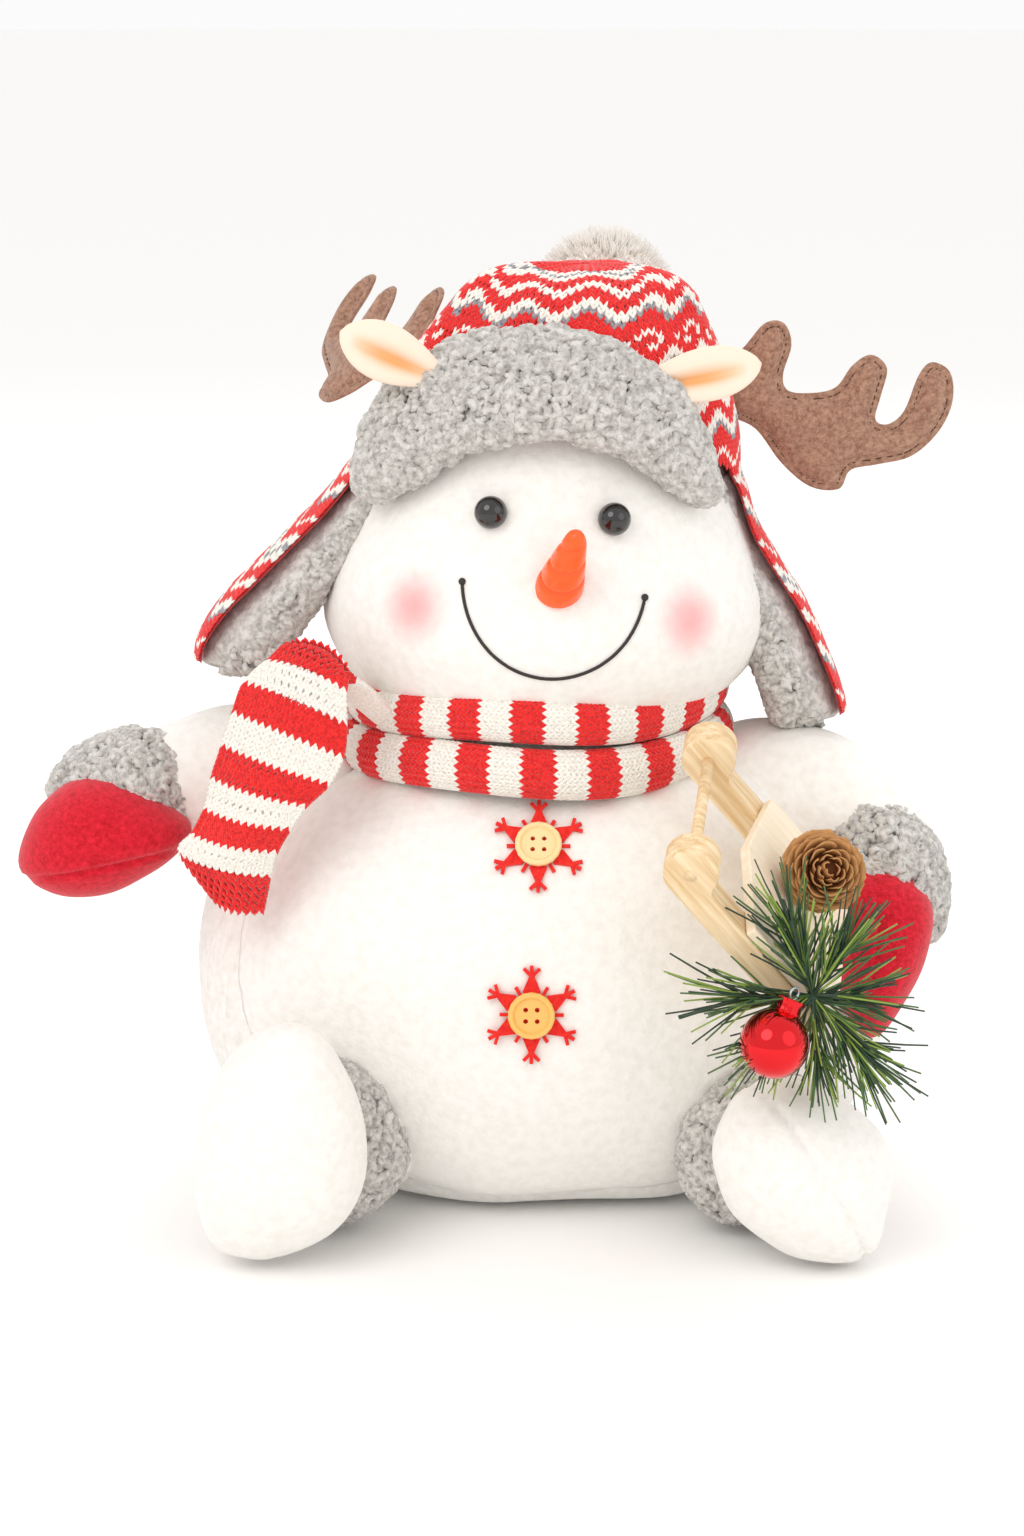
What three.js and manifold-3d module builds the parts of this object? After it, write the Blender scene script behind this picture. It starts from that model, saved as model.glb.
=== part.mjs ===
// Seated stuffed snowman, about 36 cm tall, in a knitted trapper hat with felt antlers.
// Millimetres, +Z up, the figure faces -Y. Left and right are as seen from the front.
// Each sewn section, each hard trim piece and each stick of the little sled is its own solid.
import * as THREE from 'three';
import { mergeVertices } from 'three/addons/utils/BufferGeometryUtils.js';
import Module from 'manifold-3d';

const wasm = await Module();
wasm.setup();

// Driving dimensions
const GAP = 0.3;                 // clearance between pieces that touch
const SKIN = 1.5;                // fleece thickness
const ROUND = 20;                // facets round the body and head
const FACETS = 12;               // facets round a limb or a small ball

// Outer outlines as [half width, height]; depth is half width times the scale below
const BODY = [[80, 0.4], [98, 6], [113, 18], [124, 35], [131, 56], [132, 78], [128, 100],
  [118, 122], [103, 142], [84, 157], [62, 167], [46, 172]];
const BODY_DEPTH = 0.77;
const HEAD = [[46, 179], [62, 183], [75, 195], [82, 212], [80, 229], [74, 246], [66, 265],
  [57, 284], [46, 302], [30, 317], [13, 325], [0, 326.5]];
const HEAD_DEPTH = 0.92;
const HEAD_Y = -6;
const CROWN = [[86, 206], [86, 214], [84, 229], [79, 246], [73.5, 263], [69.5, 280], [64, 294],
  [58.5, 305], [53.5, 315], [47, 325], [41.5, 333], [33, 338.5], [18, 341.5], [0, 342]];
const CROWN_DEPTH = 0.9;
const CROWN_LEAN = 0.2;          // the slouched crown drifts to the right above this height
const LEAN_FROM = 270;
const HAT_EDGE = { z: 262, y: -10, slope: -0.52 };   // the hat's lower edge, a tilted plane
const BRIM_SIZE = { wide: 1.02, deep: 1.17, band: 41, back: -22 };

const BASE = { radius: 78, thick: 1.6 };
const PELLETS = { radius: 104, top: 27, floor: 2.4 };
const STUFFING_FLOOR = 28;
const SEAM = { y: -58, z: 60, slope: 0.33 };          // plane between front fleece and ribbed back

// Hinge points of the limbs, and the hollows in the torso that they turn in, left side first
const SHOULDER = { x: 94, y: -6, z: 151, root: 14 };
const HIP = { x: 62, y: -60, z: 27, root: 15 };
const HOLLOWS = [[-91, -6, 151, 22], [101, -18, 143, 31], [-69, -80, 30, 38], [69, -80, 30, 38]];

const SCARF = { lower: [166.5, 72], upper: [185.5, 70], inner: 50, tall: 17, centreX: -4 };
const SCARF_DEPTH = 1.03;
const TAIL = { width: 42, length: 86, thick: 4.5 };
const FLAP = { length: 96, width: 54, knit: 3, lining: 13, bare: 16 };
const ANTLER_GAP = 2.2;          // room at the antler's root for it to nod
const POMPOM_GAP = 2.6;          // and under the pompom

const COLOURS = {
  fleece: 0xf3efe9, ribbed: 0xf6f4ee, filling: 0xf8f8f6, pellets: 0xd8d8d2, red: 0xe0383c,
  sherpa: 0xaaa49c, knit: 0xd8474a, felt: 0xc62a30, brown: 0x8a5f4b, cream: 0xf7e0c9,
  carrot: 0xf0702e, black: 0x1b1412, wood: 0xecd2a6, cone: 0x9a5f33, green: 0x3f5a34,
  glass: 0xd11c1c, steel: 0xb9c4c8, button: 0xf6c26a, flake: 0xe2332f,
};

const model = new THREE.Group();

// One named mesh of one finish
function piece(parent, name, geometry, colour, roughness = 0.9, metalness = 0) {
  const material = new THREE.MeshStandardMaterial({ color: colour, roughness, metalness });
  const mesh = new THREE.Mesh(geometry, material);
  mesh.name = name;
  parent.add(mesh);
  return mesh;
}

// A closed surface with shared corners and its faces pointing out
function closed(geometry) {
  const bare = geometry.clone();
  bare.deleteAttribute('normal');
  bare.deleteAttribute('uv');
  const merged = mergeVertices(bare, 1e-4);
  const at = merged.getAttribute('position');
  const index = merged.getIndex().array;
  const [a, b, c] = [new THREE.Vector3(), new THREE.Vector3(), new THREE.Vector3()];
  const kept = [];
  let volume = 0;
  for (let i = 0; i < index.length; i += 3) {
    const [p, q, r] = [index[i], index[i + 1], index[i + 2]];
    if (p === q || q === r || r === p) continue;
    kept.push(p, q, r);
    a.fromBufferAttribute(at, p);
    b.fromBufferAttribute(at, q);
    c.fromBufferAttribute(at, r);
    volume += a.dot(b.cross(c));
  }
  if (volume < 0) kept.reverse();
  merged.setIndex(kept);
  return merged;
}

function solidOf(geometry) {
  const shape = closed(geometry);
  return new wasm.Manifold(new wasm.Mesh({
    numProp: 3,
    vertProperties: Float32Array.from(shape.getAttribute('position').array),
    triVerts: Uint32Array.from(shape.getIndex().array),
  }));
}

function geometryOf(solid) {
  const mesh = solid.getMesh();
  const geometry = new THREE.BufferGeometry();
  geometry.setAttribute('position', new THREE.BufferAttribute(mesh.vertProperties, 3));
  geometry.setIndex(new THREE.BufferAttribute(mesh.triVerts, 1));
  return geometry;
}

function cut(geometry, ...tools) {
  return geometryOf(tools.reduce((rest, tool) => rest.subtract(solidOf(tool)), solidOf(geometry)));
}

function join(...parts) {
  return geometryOf(parts.slice(1).reduce((sum, part) => sum.add(solidOf(part)), solidOf(parts[0])));
}

function common(geometry, other) {
  return geometryOf(solidOf(geometry).intersect(solidOf(other)));
}

// Turned shape about Z from [radius, height] points, flattened front to back
function turned(outline, segments, depth = 1, y = 0) {
  const points = outline.map(([r, z]) => new THREE.Vector2(r, z));
  const geometry = new THREE.LatheGeometry(points, segments);
  geometry.rotateX(Math.PI / 2);
  geometry.scale(1, depth, 1);
  geometry.translate(0, y, 0);
  return closed(geometry);
}

// The same outline moved outwards by a distance, negative for inwards
function offset(outline, distance) {
  return outline.map(([r, z], i) => {
    const before = outline[Math.max(i - 1, 0)];
    const after = outline[Math.min(i + 1, outline.length - 1)];
    const along = new THREE.Vector2(after[0] - before[0], after[1] - before[1]).normalize();
    return [Math.max(r + along.y * distance, 0), z - along.x * distance];
  });
}

// Solid inside an outline, closed to the axis at both ends
function filled(outline) {
  const [first, last] = [outline[0], outline[outline.length - 1]];
  const ends = last[0] > 0 ? [[0, last[1]]] : [];
  return [[0, first[1]], ...outline, ...ends];
}

// Half width of an outline at a height
function widthAt(outline, z) {
  const i = outline.findIndex((point, n) => n > 0 && point[1] >= z);
  const [below, above] = [outline[i - 1], outline[i]];
  return THREE.MathUtils.mapLinear(z, below[1], above[1], below[0], above[0]);
}

// Point on the front of the body or head, and a frame whose Z leaves the surface there
function onFront(outline, depth, y, x, z) {
  const half = widthAt(outline, z);
  return new THREE.Vector3(x, y - depth * Math.sqrt(half * half - x * x), z);
}

function frontFrame(outline, depth, y, x, z, lift) {
  const step = 4;
  const at = onFront(outline, depth, y, x, z);
  const across = onFront(outline, depth, y, x + step, z).sub(onFront(outline, depth, y, x - step, z));
  const up = onFront(outline, depth, y, x, z + step).sub(onFront(outline, depth, y, x, z - step));
  const out = across.clone().cross(up).normalize();
  const frame = new THREE.Matrix4().makeBasis(across.normalize(), out.clone().cross(across), out);
  return frame.setPosition(at.addScaledVector(out, lift));
}

// Half space below the tilted plane z = height + slope * (y - from), as a big slab
function slabBelow(height, from, slope, thick = 400) {
  const slab = new THREE.BoxGeometry(500, 500, thick);
  slab.translate(0, 0, -thick / 2);
  slab.rotateX(Math.atan(slope));
  slab.translate(0, from, height);
  return slab;
}

// Half space in front of the plane y = from + slope * (z - height)
function slabBefore(from, height, slope) {
  const slab = new THREE.BoxGeometry(500, 400, 900);
  slab.translate(0, -200, 0);
  slab.rotateX(-Math.atan(slope));
  slab.translate(0, from, height);
  return slab;
}

function ball(centre, radius, grow = 0, detail = FACETS) {
  const geometry = new THREE.SphereGeometry(radius + grow, detail, detail / 2);
  return geometry.translate(centre.x, centre.y, centre.z);
}

// Stretched ball whose local Z looks along a direction
function egg(centre, radii, direction, grow = 0, roll = 0, detail = FACETS) {
  const geometry = new THREE.SphereGeometry(1, detail, detail / 2);
  geometry.rotateX(Math.PI / 2);
  geometry.scale(radii[0] + grow, radii[1] + grow, radii[2] + grow);
  geometry.rotateZ(roll);
  geometry.applyQuaternion(facing(direction));
  return geometry.translate(centre.x, centre.y, centre.z);
}

function facing(direction) {
  const up = new THREE.Vector3(0, 0, 1);
  return new THREE.Quaternion().setFromUnitVectors(up, direction.clone().normalize());
}

// Thin bar or tube along a curve
function tube(curve, radius, sides, steps) {
  const ring = new THREE.Shape();
  ring.absarc(0, 0, radius, 0, 2 * Math.PI);
  const section = new THREE.Shape(ring.getSpacedPoints(sides).slice(0, sides));
  const options = { steps, bevelEnabled: false, extrudePath: curve };
  return closed(new THREE.ExtrudeGeometry(section, options));
}

function plate(shape, thick, curveSegments = 8) {
  const options = { depth: thick, bevelEnabled: false, curveSegments };
  return closed(new THREE.ExtrudeGeometry(shape, options));
}

const vec = (x, y, z) => new THREE.Vector3(x, y, z);
const mirrored = side => (side === 'l' ? -1 : 1);
const degrees = THREE.MathUtils.degToRad;

// Torso: fleece front, ribbed plush back, round base, loose filling and a bag of pellets
function addBody() {
  const hollows = HOLLOWS.map(([x, y, z, radius]) => ball(vec(x, y, z), radius));
  const wall = turned([...BODY, ...offset(BODY, -SKIN).reverse(), BODY[0]], ROUND, BODY_DEPTH);
  const skin = cut(wall, ...hollows);
  const front = slabBefore(SEAM.y, SEAM.z, SEAM.slope);
  piece(model, 'body_front', common(skin, front), COLOURS.fleece);
  const behind = slabBefore(SEAM.y + GAP, SEAM.z, SEAM.slope);
  piece(model, 'body_back', cut(skin, behind), COLOURS.ribbed);

  const inner = offset(BODY, -SKIN - GAP).filter(point => point[1] > STUFFING_FLOOR + 1);
  const floorRadius = widthAt(BODY, STUFFING_FLOOR) - SKIN - 1;
  const filling = turned(filled([[floorRadius, STUFFING_FLOOR], ...inner]), ROUND, BODY_DEPTH);
  piece(model, 'body_stuffing', cut(filling, ...hollows), COLOURS.filling);

  const bag = [[0, PELLETS.floor], [BASE.radius - 4, PELLETS.floor], [PELLETS.radius - 12, 9],
    [PELLETS.radius, 18], [PELLETS.radius + 5, PELLETS.top], [0, PELLETS.top]];
  piece(model, 'pellet_bag', cut(turned(bag, ROUND, BODY_DEPTH), ...hollows), COLOURS.pellets);
  const base = [[0, 0], [BASE.radius - GAP, 0], [BASE.radius - GAP, BASE.thick], [0, BASE.thick]];
  piece(model, 'base_panel', turned(base, ROUND, BODY_DEPTH), COLOURS.ribbed);
}

// Head: one fleece skin over its filling, open at the neck
function addHead() {
  const inside = offset(HEAD, -SKIN).filter(point => point[0] > 0);
  const roof = [0, HEAD[HEAD.length - 1][1] - SKIN];
  const wall = [...HEAD, roof, ...inside.reverse(), HEAD[0]];
  piece(model, 'head_skin', turned(wall, ROUND, HEAD_DEPTH, HEAD_Y), COLOURS.fleece);
  const inner = offset(HEAD, -SKIN - GAP).filter(point => point[0] > 0);
  const top = [0, HEAD[HEAD.length - 1][1] - SKIN - GAP];
  const filling = turned([[0, inner[0][1]], ...inner, top], ROUND, HEAD_DEPTH, HEAD_Y);
  piece(model, 'head_stuffing', filling, COLOURS.filling);
}

const headSolid = grow => turned(filled(offset(HEAD, grow)), ROUND, HEAD_DEPTH, HEAD_Y);

// Glossy bead eyes, a twisted carrot and the smile in thick thread
function addFace() {
  const clearance = headSolid(GAP);
  for (const [name, x, z] of [['eye_l', -20, 260.5], ['eye_r', 23.7, 258]]) {
    const at = onFront(HEAD, HEAD_DEPTH, HEAD_Y, x, z).add(vec(0, -2.6, 0.4));
    piece(model, name, cut(ball(at, 6), clearance), COLOURS.black, 0.1);
  }
  const root = onFront(HEAD, HEAD_DEPTH, HEAD_Y, 4.5, 236);
  const carrot = turned([[0, -6], [9.4, -6], [9.6, 2], [8, 9], [6.2, 17], [4.2, 25], [2.6, 30],
    [0, 32]], FACETS);
  carrot.applyQuaternion(facing(vec(0.12, -0.8, 0.56)));
  carrot.translate(root.x, root.y, root.z);
  piece(model, 'carrot_nose', cut(carrot, clearance), COLOURS.carrot, 0.35);

  const stitches = [];
  const [reach, drop, tilt] = [32.5, 34.5, degrees(-5)];
  for (let angle = -80; angle <= 80; angle += 10) {
    const [across, down] = [reach * Math.sin(degrees(angle)), -drop * Math.cos(degrees(angle))];
    const x = 2.5 + across * Math.cos(tilt) - down * Math.sin(tilt);
    const z = 237 + across * Math.sin(tilt) + down * Math.cos(tilt);
    stitches.push(onFront(HEAD, HEAD_DEPTH, HEAD_Y, x, z).add(vec(0, -1.6, 0)));
  }
  const smile = tube(new THREE.CatmullRomCurve3(stitches), 0.7, 8, 16);
  piece(model, 'smile_cord', cut(smile, clearance), COLOURS.black, 0.7);
}

// Laser-cut snowflake: six kite arms with three prongs, six small forks between them
function snowflake() {
  const thick = 1.2;
  const bar = (from, to, wide) => {
    const length = to.distanceTo(from);
    const geometry = new THREE.BoxGeometry(length, wide, thick);
    geometry.rotateZ(Math.atan2(to.y - from.y, to.x - from.x));
    return geometry.translate((from.x + to.x) / 2, (from.y + to.y) / 2, thick / 2);
  };
  const ray = (radius, angle) => new THREE.Vector2(radius * Math.cos(angle), radius * Math.sin(angle));
  const hub = new THREE.CylinderGeometry(6.6, 6.6, thick, 6).rotateX(Math.PI / 2);
  const parts = [hub.translate(0, 0, thick / 2)];
  for (let arm = 0; arm < 6; arm += 1) {
    const a = Math.PI / 2 + (arm * Math.PI) / 3;
    const kite = new THREE.Shape([ray(3, a), ray(9, a - 0.36), ray(14.6, a - 0.04), ray(14.6, a + 0.04),
      ray(9, a + 0.36)]);
    parts.push(plate(kite, thick), bar(ray(13.8, a), ray(17.6, a), 1.3));
    const between = a + Math.PI / 6;
    parts.push(bar(ray(5, between), ray(11.4, between), 1.2));
    for (const turn of [-1, 1]) {
      parts.push(bar(ray(13.6, a), ray(16.8, a + turn * 0.17), 1.2));
    }
  }
  return join(...parts);
}

// Four-hole button with a raised rim
function button() {
  const [radius, rim, thick] = [8.4, 1.6, 1.5];
  const disc = turned([[0, 0], [radius - 0.6, 0], [radius, 0.7], [radius, 2], [radius - 0.5, 2.6],
    [radius - rim, 2.6], [radius - rim - 0.8, thick], [0, thick]], 18);
  const holes = [0, 1, 2, 3].map(n => {
    const angle = Math.PI / 4 + (n * Math.PI) / 2;
    const hole = new THREE.CylinderGeometry(0.95, 0.95, 8, 6).rotateX(Math.PI / 2);
    return hole.translate(2.9 * Math.cos(angle), 2.9 * Math.sin(angle), 0);
  });
  return cut(disc, ...holes);
}

function addTrim() {
  for (const [name, x, z] of [['upper', -3, 141], ['lower', -5.5, 85]]) {
    const flake = snowflake();
    flake.applyMatrix4(frontFrame(BODY, BODY_DEPTH, 0, x, z, 0.5));
    piece(model, `snowflake_${name}`, flake, COLOURS.flake, 0.7);
    const disc = button();
    disc.applyMatrix4(frontFrame(BODY, BODY_DEPTH, 0, x, z, 0.5 + 1.2 + GAP));
    piece(model, `button_${name}`, disc, COLOURS.button, 0.35);
  }
}

// Knitted crown pulled over the head, its slouched top drifting to the right
function crownSolid(grow, wide = 1, deep = 1) {
  const geometry = turned(filled(offset(CROWN, grow)), ROUND, CROWN_DEPTH);
  geometry.scale(wide, deep, 1);
  geometry.translate(0, HEAD_Y, 0);
  const at = geometry.getAttribute('position');
  for (let i = 0; i < at.count; i += 1) {
    at.setX(i, at.getX(i) + CROWN_LEAN * Math.max(at.getZ(i) - LEAN_FROM, 0));
  }
  return geometry;
}

function addHat() {
  const below = slabBelow(HAT_EDGE.z, HAT_EDGE.y, HAT_EDGE.slope);
  const crown = cut(crownSolid(0), headSolid(GAP), below);
  piece(model, 'hat_crown', crown, COLOURS.knit);

  const { wide, deep, band, back } = BRIM_SIZE;
  const bandTop = slabBelow(HAT_EDGE.z + band, HAT_EDGE.y, HAT_EDGE.slope, band * Math.cos(0.48));
  const ring = common(crownSolid(0, wide, deep), bandTop);
  const front = common(ring, slabBefore(back, 0, 0));
  piece(model, 'hat_brim', cut(front, crownSolid(GAP), headSolid(GAP)), COLOURS.sherpa);
}

// Pointed felt ear, standing on the turned-up brim
function addEar(side, base, turn, tilt, length) {
  const leaf = new THREE.Shape();
  leaf.moveTo(0, -8);
  leaf.quadraticCurveTo(length * 0.55, -13, length, 0);
  leaf.quadraticCurveTo(length * 0.6, 12, 0, 8);
  leaf.closePath();
  const geometry = plate(leaf, 4, 6).translate(0, 0, -2);
  geometry.rotateX(Math.PI / 2);
  geometry.applyQuaternion(new THREE.Quaternion().setFromEuler(new THREE.Euler(0, -tilt, turn, 'ZYX')));
  geometry.translate(base.x, base.y, base.z);
  const hat = crownSolid(GAP, BRIM_SIZE.wide, BRIM_SIZE.deep);
  piece(model, `ear_${side}`, cut(geometry, hat), COLOURS.cream);
}

// Felt antler: a beam with a short first tine and a forked end, stuffed flat
function antlerShape() {
  const edge = [[0, -7], [12, -14], [22, -27], [33, -36], [44, -37], [48, -30], [58, -28], [71, -25],
    [81, -16], [86, -5], [85, 6], [78, 10], [73, 5], [68, -8], [62, -13], [57, -11], [59, -2], [61, 8],
    [55, 13], [48, 9], [42, 1], [33, -1], [24, 0], [22, 6], [25, 17], [22, 25], [15, 25], [8, 17], [0, 8]];
  const shape = new THREE.Shape();
  shape.moveTo(...edge[0]);
  shape.splineThru(edge.slice(1).map(point => new THREE.Vector2(...point)));
  shape.closePath();
  return shape;
}

function addAntler(side, root, turn, tilt, roll) {
  const thick = 7;
  const geometry = plate(antlerShape(), thick, 2).translate(0, 0, -thick / 2);
  geometry.rotateX(Math.PI / 2);
  if (side === 'l') geometry.scale(-1, 1, 1);
  geometry.applyQuaternion(new THREE.Quaternion().setFromEuler(new THREE.Euler(roll, tilt, turn, 'ZYX')));
  geometry.translate(root.x, root.y, root.z);
  piece(model, `antler_${side}`, cut(geometry, crownSolid(ANTLER_GAP)), COLOURS.brown);
}

// Ear flap: a knitted tongue with a thick curly lining on its inner face
function addFlap(side, top, lean) {
  const hinge = new THREE.Group();
  hinge.position.copy(top);
  hinge.rotation.y = mirrored(side) * -lean;
  const half = FLAP.width / 2;
  const layer = (thick, from, start) => {
    const tongue = new THREE.Shape();
    tongue.moveTo(-half * 0.85, -start);
    tongue.lineTo(half * 0.85, -start);
    tongue.lineTo(half, -FLAP.length * 0.35);
    tongue.quadraticCurveTo(half, -FLAP.length, 0, -FLAP.length);
    tongue.quadraticCurveTo(-half, -FLAP.length, -half, -FLAP.length * 0.35);
    tongue.closePath();
    const geometry = plate(tongue, thick, 8);
    geometry.rotateX(Math.PI / 2).rotateZ(Math.PI / 2);
    return geometry.translate(mirrored(side) > 0 ? from : -from - thick, 0, 0);
  };
  piece(hinge, `flap_knit_${side}`, layer(FLAP.knit, 0, 0), COLOURS.knit);
  piece(hinge, `flap_lining_${side}`, layer(FLAP.lining, -FLAP.lining - GAP, FLAP.bare), COLOURS.sherpa);
  model.add(hinge);
}

// Scarf: two wraps round the neck, a folded knot at the left and a hanging tail
function addScarf() {
  for (const [name, [z, outer]] of Object.entries({ lower: SCARF.lower, upper: SCARF.upper })) {
    const [half, bulge] = [SCARF.tall / 2, 5];
    const loop = [[SCARF.inner, z - half], [outer - bulge, z - half], [outer, z - half / 2],
      [outer, z + half / 2], [outer - bulge, z + half], [SCARF.inner, z + half],
      [SCARF.inner, z - half]];
    const ring = turned(loop, ROUND, SCARF_DEPTH, HEAD_Y / 2).translate(SCARF.centreX, 0, 0);
    const tidy = cut(ring, headSolid(GAP), turned(filled(offset(BODY, GAP)), ROUND, BODY_DEPTH));
    piece(model, `scarf_wrap_${name}`, tidy, COLOURS.red);
  }
  const hang = vec(-27, 10, -76).normalize();
  const across = vec(27, -22, 0).addScaledVector(hang, -vec(27, -22, 0).dot(hang)).normalize();
  const out = hang.clone().cross(across).normalize();
  const frame = new THREE.Matrix4().makeBasis(across, out, hang.clone().negate());
  const knot = new THREE.SphereGeometry(1, 16, 8).scale(19, 9, 12);
  knot.applyMatrix4(frame).translate(-79, -67, 199);
  const solid = cut(knot, headSolid(GAP), ...['lower', 'upper'].map(name => {
    const [z, outer] = SCARF[name];
    const core = [[0, z - 10], [outer + GAP, z - 10], [outer + GAP, z + 10], [0, z + 10]];
    return turned(core, ROUND, SCARF_DEPTH, HEAD_Y / 2).translate(SCARF.centreX, 0, 0);
  }));
  piece(model, 'scarf_knot', solid, COLOURS.red);

  const slab = new THREE.BoxGeometry(TAIL.width, TAIL.thick, TAIL.length);
  slab.translate(0, 0, -TAIL.length / 2);
  const tail = piece(model, 'scarf_tail', closed(slab), COLOURS.red);
  tail.quaternion.setFromRotationMatrix(frame);
  tail.position.set(-87, -81, 190);
}

// A limb is a root ball in its socket, a sleeve, a curly cuff and a stuffed hand or foot
function addLimb(side, names, root, rootRadius, cuffAt, cuff, end, colour) {
  const [sleeveName, cuffName, endName] = names.map(name => `${name}_${side}`);
  const reach = cuffAt.clone().sub(root);
  const length = reach.length();
  const sleeve = turned([[0, 0], [rootRadius * 0.9, 0], [cuff.radius * 0.75, length], [0, length]], FACETS);
  sleeve.applyQuaternion(facing(reach)).translate(root.x, root.y, root.z);
  const cuffBall = grow => egg(cuffAt, [cuff.radius, cuff.radius, cuff.half], cuff.axis, grow);
  const endBall = grow => egg(end.at, end.radii, end.axis, grow, end.roll);
  const beyond = new THREE.BoxGeometry(120, 120, 60).translate(0, 0, 30);
  beyond.applyQuaternion(facing(cuff.axis)).translate(cuffAt.x, cuffAt.y, cuffAt.z);
  const limb = cut(join(ball(root, rootRadius), sleeve), cuffBall(GAP), beyond, endBall(GAP));
  piece(model, sleeveName, limb, COLOURS.fleece);
  const torso = turned(filled(offset(BODY, 2 * GAP)), ROUND, BODY_DEPTH);
  piece(model, cuffName, cut(cuffBall(0), endBall(GAP), torso), COLOURS.sherpa);
  piece(model, endName, endBall(0), colour);
}

function addLimbs() {
  addLimb('l', ['arm', 'cuff', 'mitten'], vec(-SHOULDER.x, SHOULDER.y, SHOULDER.z), SHOULDER.root,
    vec(-149, -23, 150), { radius: 27, half: 12, axis: vec(-0.5, -0.6, -0.6) },
    { at: vec(-164, -43, 134), radii: [33, 22, 21], axis: vec(-0.1, -0.75, -0.65), roll: 0.1 },
    COLOURS.felt);
  addLimb('r', ['arm', 'cuff', 'mitten'], vec(SHOULDER.x, SHOULDER.y, SHOULDER.z), SHOULDER.root,
    vec(125, -43, 128), { radius: 26, half: 12, axis: vec(0.1, -0.5, -0.8) },
    { at: vec(126, -61, 99), radii: [17, 24, 33], axis: vec(-0.2, 0, 1), roll: 0 },
    COLOURS.felt);
  addLimb('l', ['leg', 'boot_cuff', 'boot'], vec(-HIP.x, HIP.y, HIP.z), HIP.root,
    vec(-78, -88, 33), { radius: 31, half: 12, axis: vec(-0.5, -0.85, 0.05) },
    { at: vec(-94, -124, 42), radii: [29, 27, 41.5], axis: vec(0.15, 0.05, 1), roll: -0.5 },
    COLOURS.fleece);
  addLimb('r', ['leg', 'boot_cuff', 'boot'], vec(HIP.x, HIP.y, HIP.z), HIP.root,
    vec(76, -89, 32), { radius: 30, half: 12, axis: vec(0.45, -0.88, 0.05) },
    { at: vec(89, -124, 38), radii: [28, 26, 41], axis: vec(-0.55, 0.05, 0.85), roll: 0.5 },
    COLOURS.fleece);
}

// Little sled: two curled runners, a dowel between the curls and a pointed seat board
const SLED = { at: vec(56.6, -92, 175), along: vec(0.62, 0.225, -0.751), across: vec(0.13, 0.912, 0.395) };
const RUNNER = { length: 78, tall: 10, thick: 12, curl: 9.5, spread: 66, dowel: 2 };
const SEAT = { from: 31, point: 8, thick: 4 };

function sledGroup() {
  const along = SLED.along.clone().normalize();
  const up = along.clone().cross(SLED.across).normalize();
  const across = up.clone().cross(along);
  const group = new THREE.Group();
  group.quaternion.setFromRotationMatrix(new THREE.Matrix4().makeBasis(along, across, up));
  group.position.copy(SLED.at);
  return group;
}

// Sled axes: X to its tail, Y towards the body, Z out of the seat; Y = 0 on the back runner's inner face
function addSled(group) {
  const bar = plate(new THREE.Shape([[0, -9.5], [RUNNER.length - 4, -9.5], [RUNNER.length, -5.5],
    [RUNNER.length, 0], [10, 0], [0, 4]].map(point => new THREE.Vector2(...point))), RUNNER.thick);
  const curl = turned([[0, 0], [RUNNER.curl, 0], [RUNNER.curl, RUNNER.thick], [0, RUNNER.thick]], 20);
  const hole = turned([[0, -1], [RUNNER.dowel + GAP, -1], [RUNNER.dowel + GAP, RUNNER.thick + 1],
    [0, RUNNER.thick + 1]], 10);
  const runner = cut(join(bar, curl), hole).rotateX(Math.PI / 2);
  piece(group, 'sled_runner_back', runner, COLOURS.wood, 0.6).position.y = RUNNER.thick;
  const front = piece(group, 'sled_runner_front', runner.clone(), COLOURS.wood, 0.6);
  front.position.y = RUNNER.thick - RUNNER.spread;
  const dowel = new THREE.CylinderGeometry(RUNNER.dowel, RUNNER.dowel, RUNNER.spread + RUNNER.thick, 10);
  piece(group, 'sled_crossbar', closed(dowel), COLOURS.wood, 0.6).position.y = 6 - RUNNER.spread / 2;
  const [near, far] = [RUNNER.thick - 1, RUNNER.thick - RUNNER.spread - RUNNER.thick + 1];
  const board = new THREE.Shape([[SEAT.from, near], [SEAT.from - SEAT.point, (near + far) / 2],
    [SEAT.from, far], [RUNNER.length + 1, far], [RUNNER.length + 1, near]]
    .map(point => new THREE.Vector2(...point)));
  piece(group, 'sled_seat', plate(board, SEAT.thick), COLOURS.wood, 0.6).position.z = GAP;
}

// Pine cone, sprig and glass bauble fastened on the sled
function addSprig(group) {
  const cone = turned([[0, 0], [9, 1], [15, 9], [15.5, 16], [11, 24], [5, 28], [0, 29]], FACETS);
  piece(group, 'pinecone', cone, COLOURS.cone).position.set(47, -25, SEAT.thick + 2 * GAP);
  const stem = new THREE.LineCurve3(vec(50, -50, 6.2), vec(56, -66.5, 6.2));
  piece(group, 'sprig_stem', tube(stem, 1.4, 8, 6), COLOURS.green, 0.6);
}

const BAUBLE = { at: vec(76.5, -157, 92), radius: 12, hook: vec(84, -152, 110) };

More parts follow.
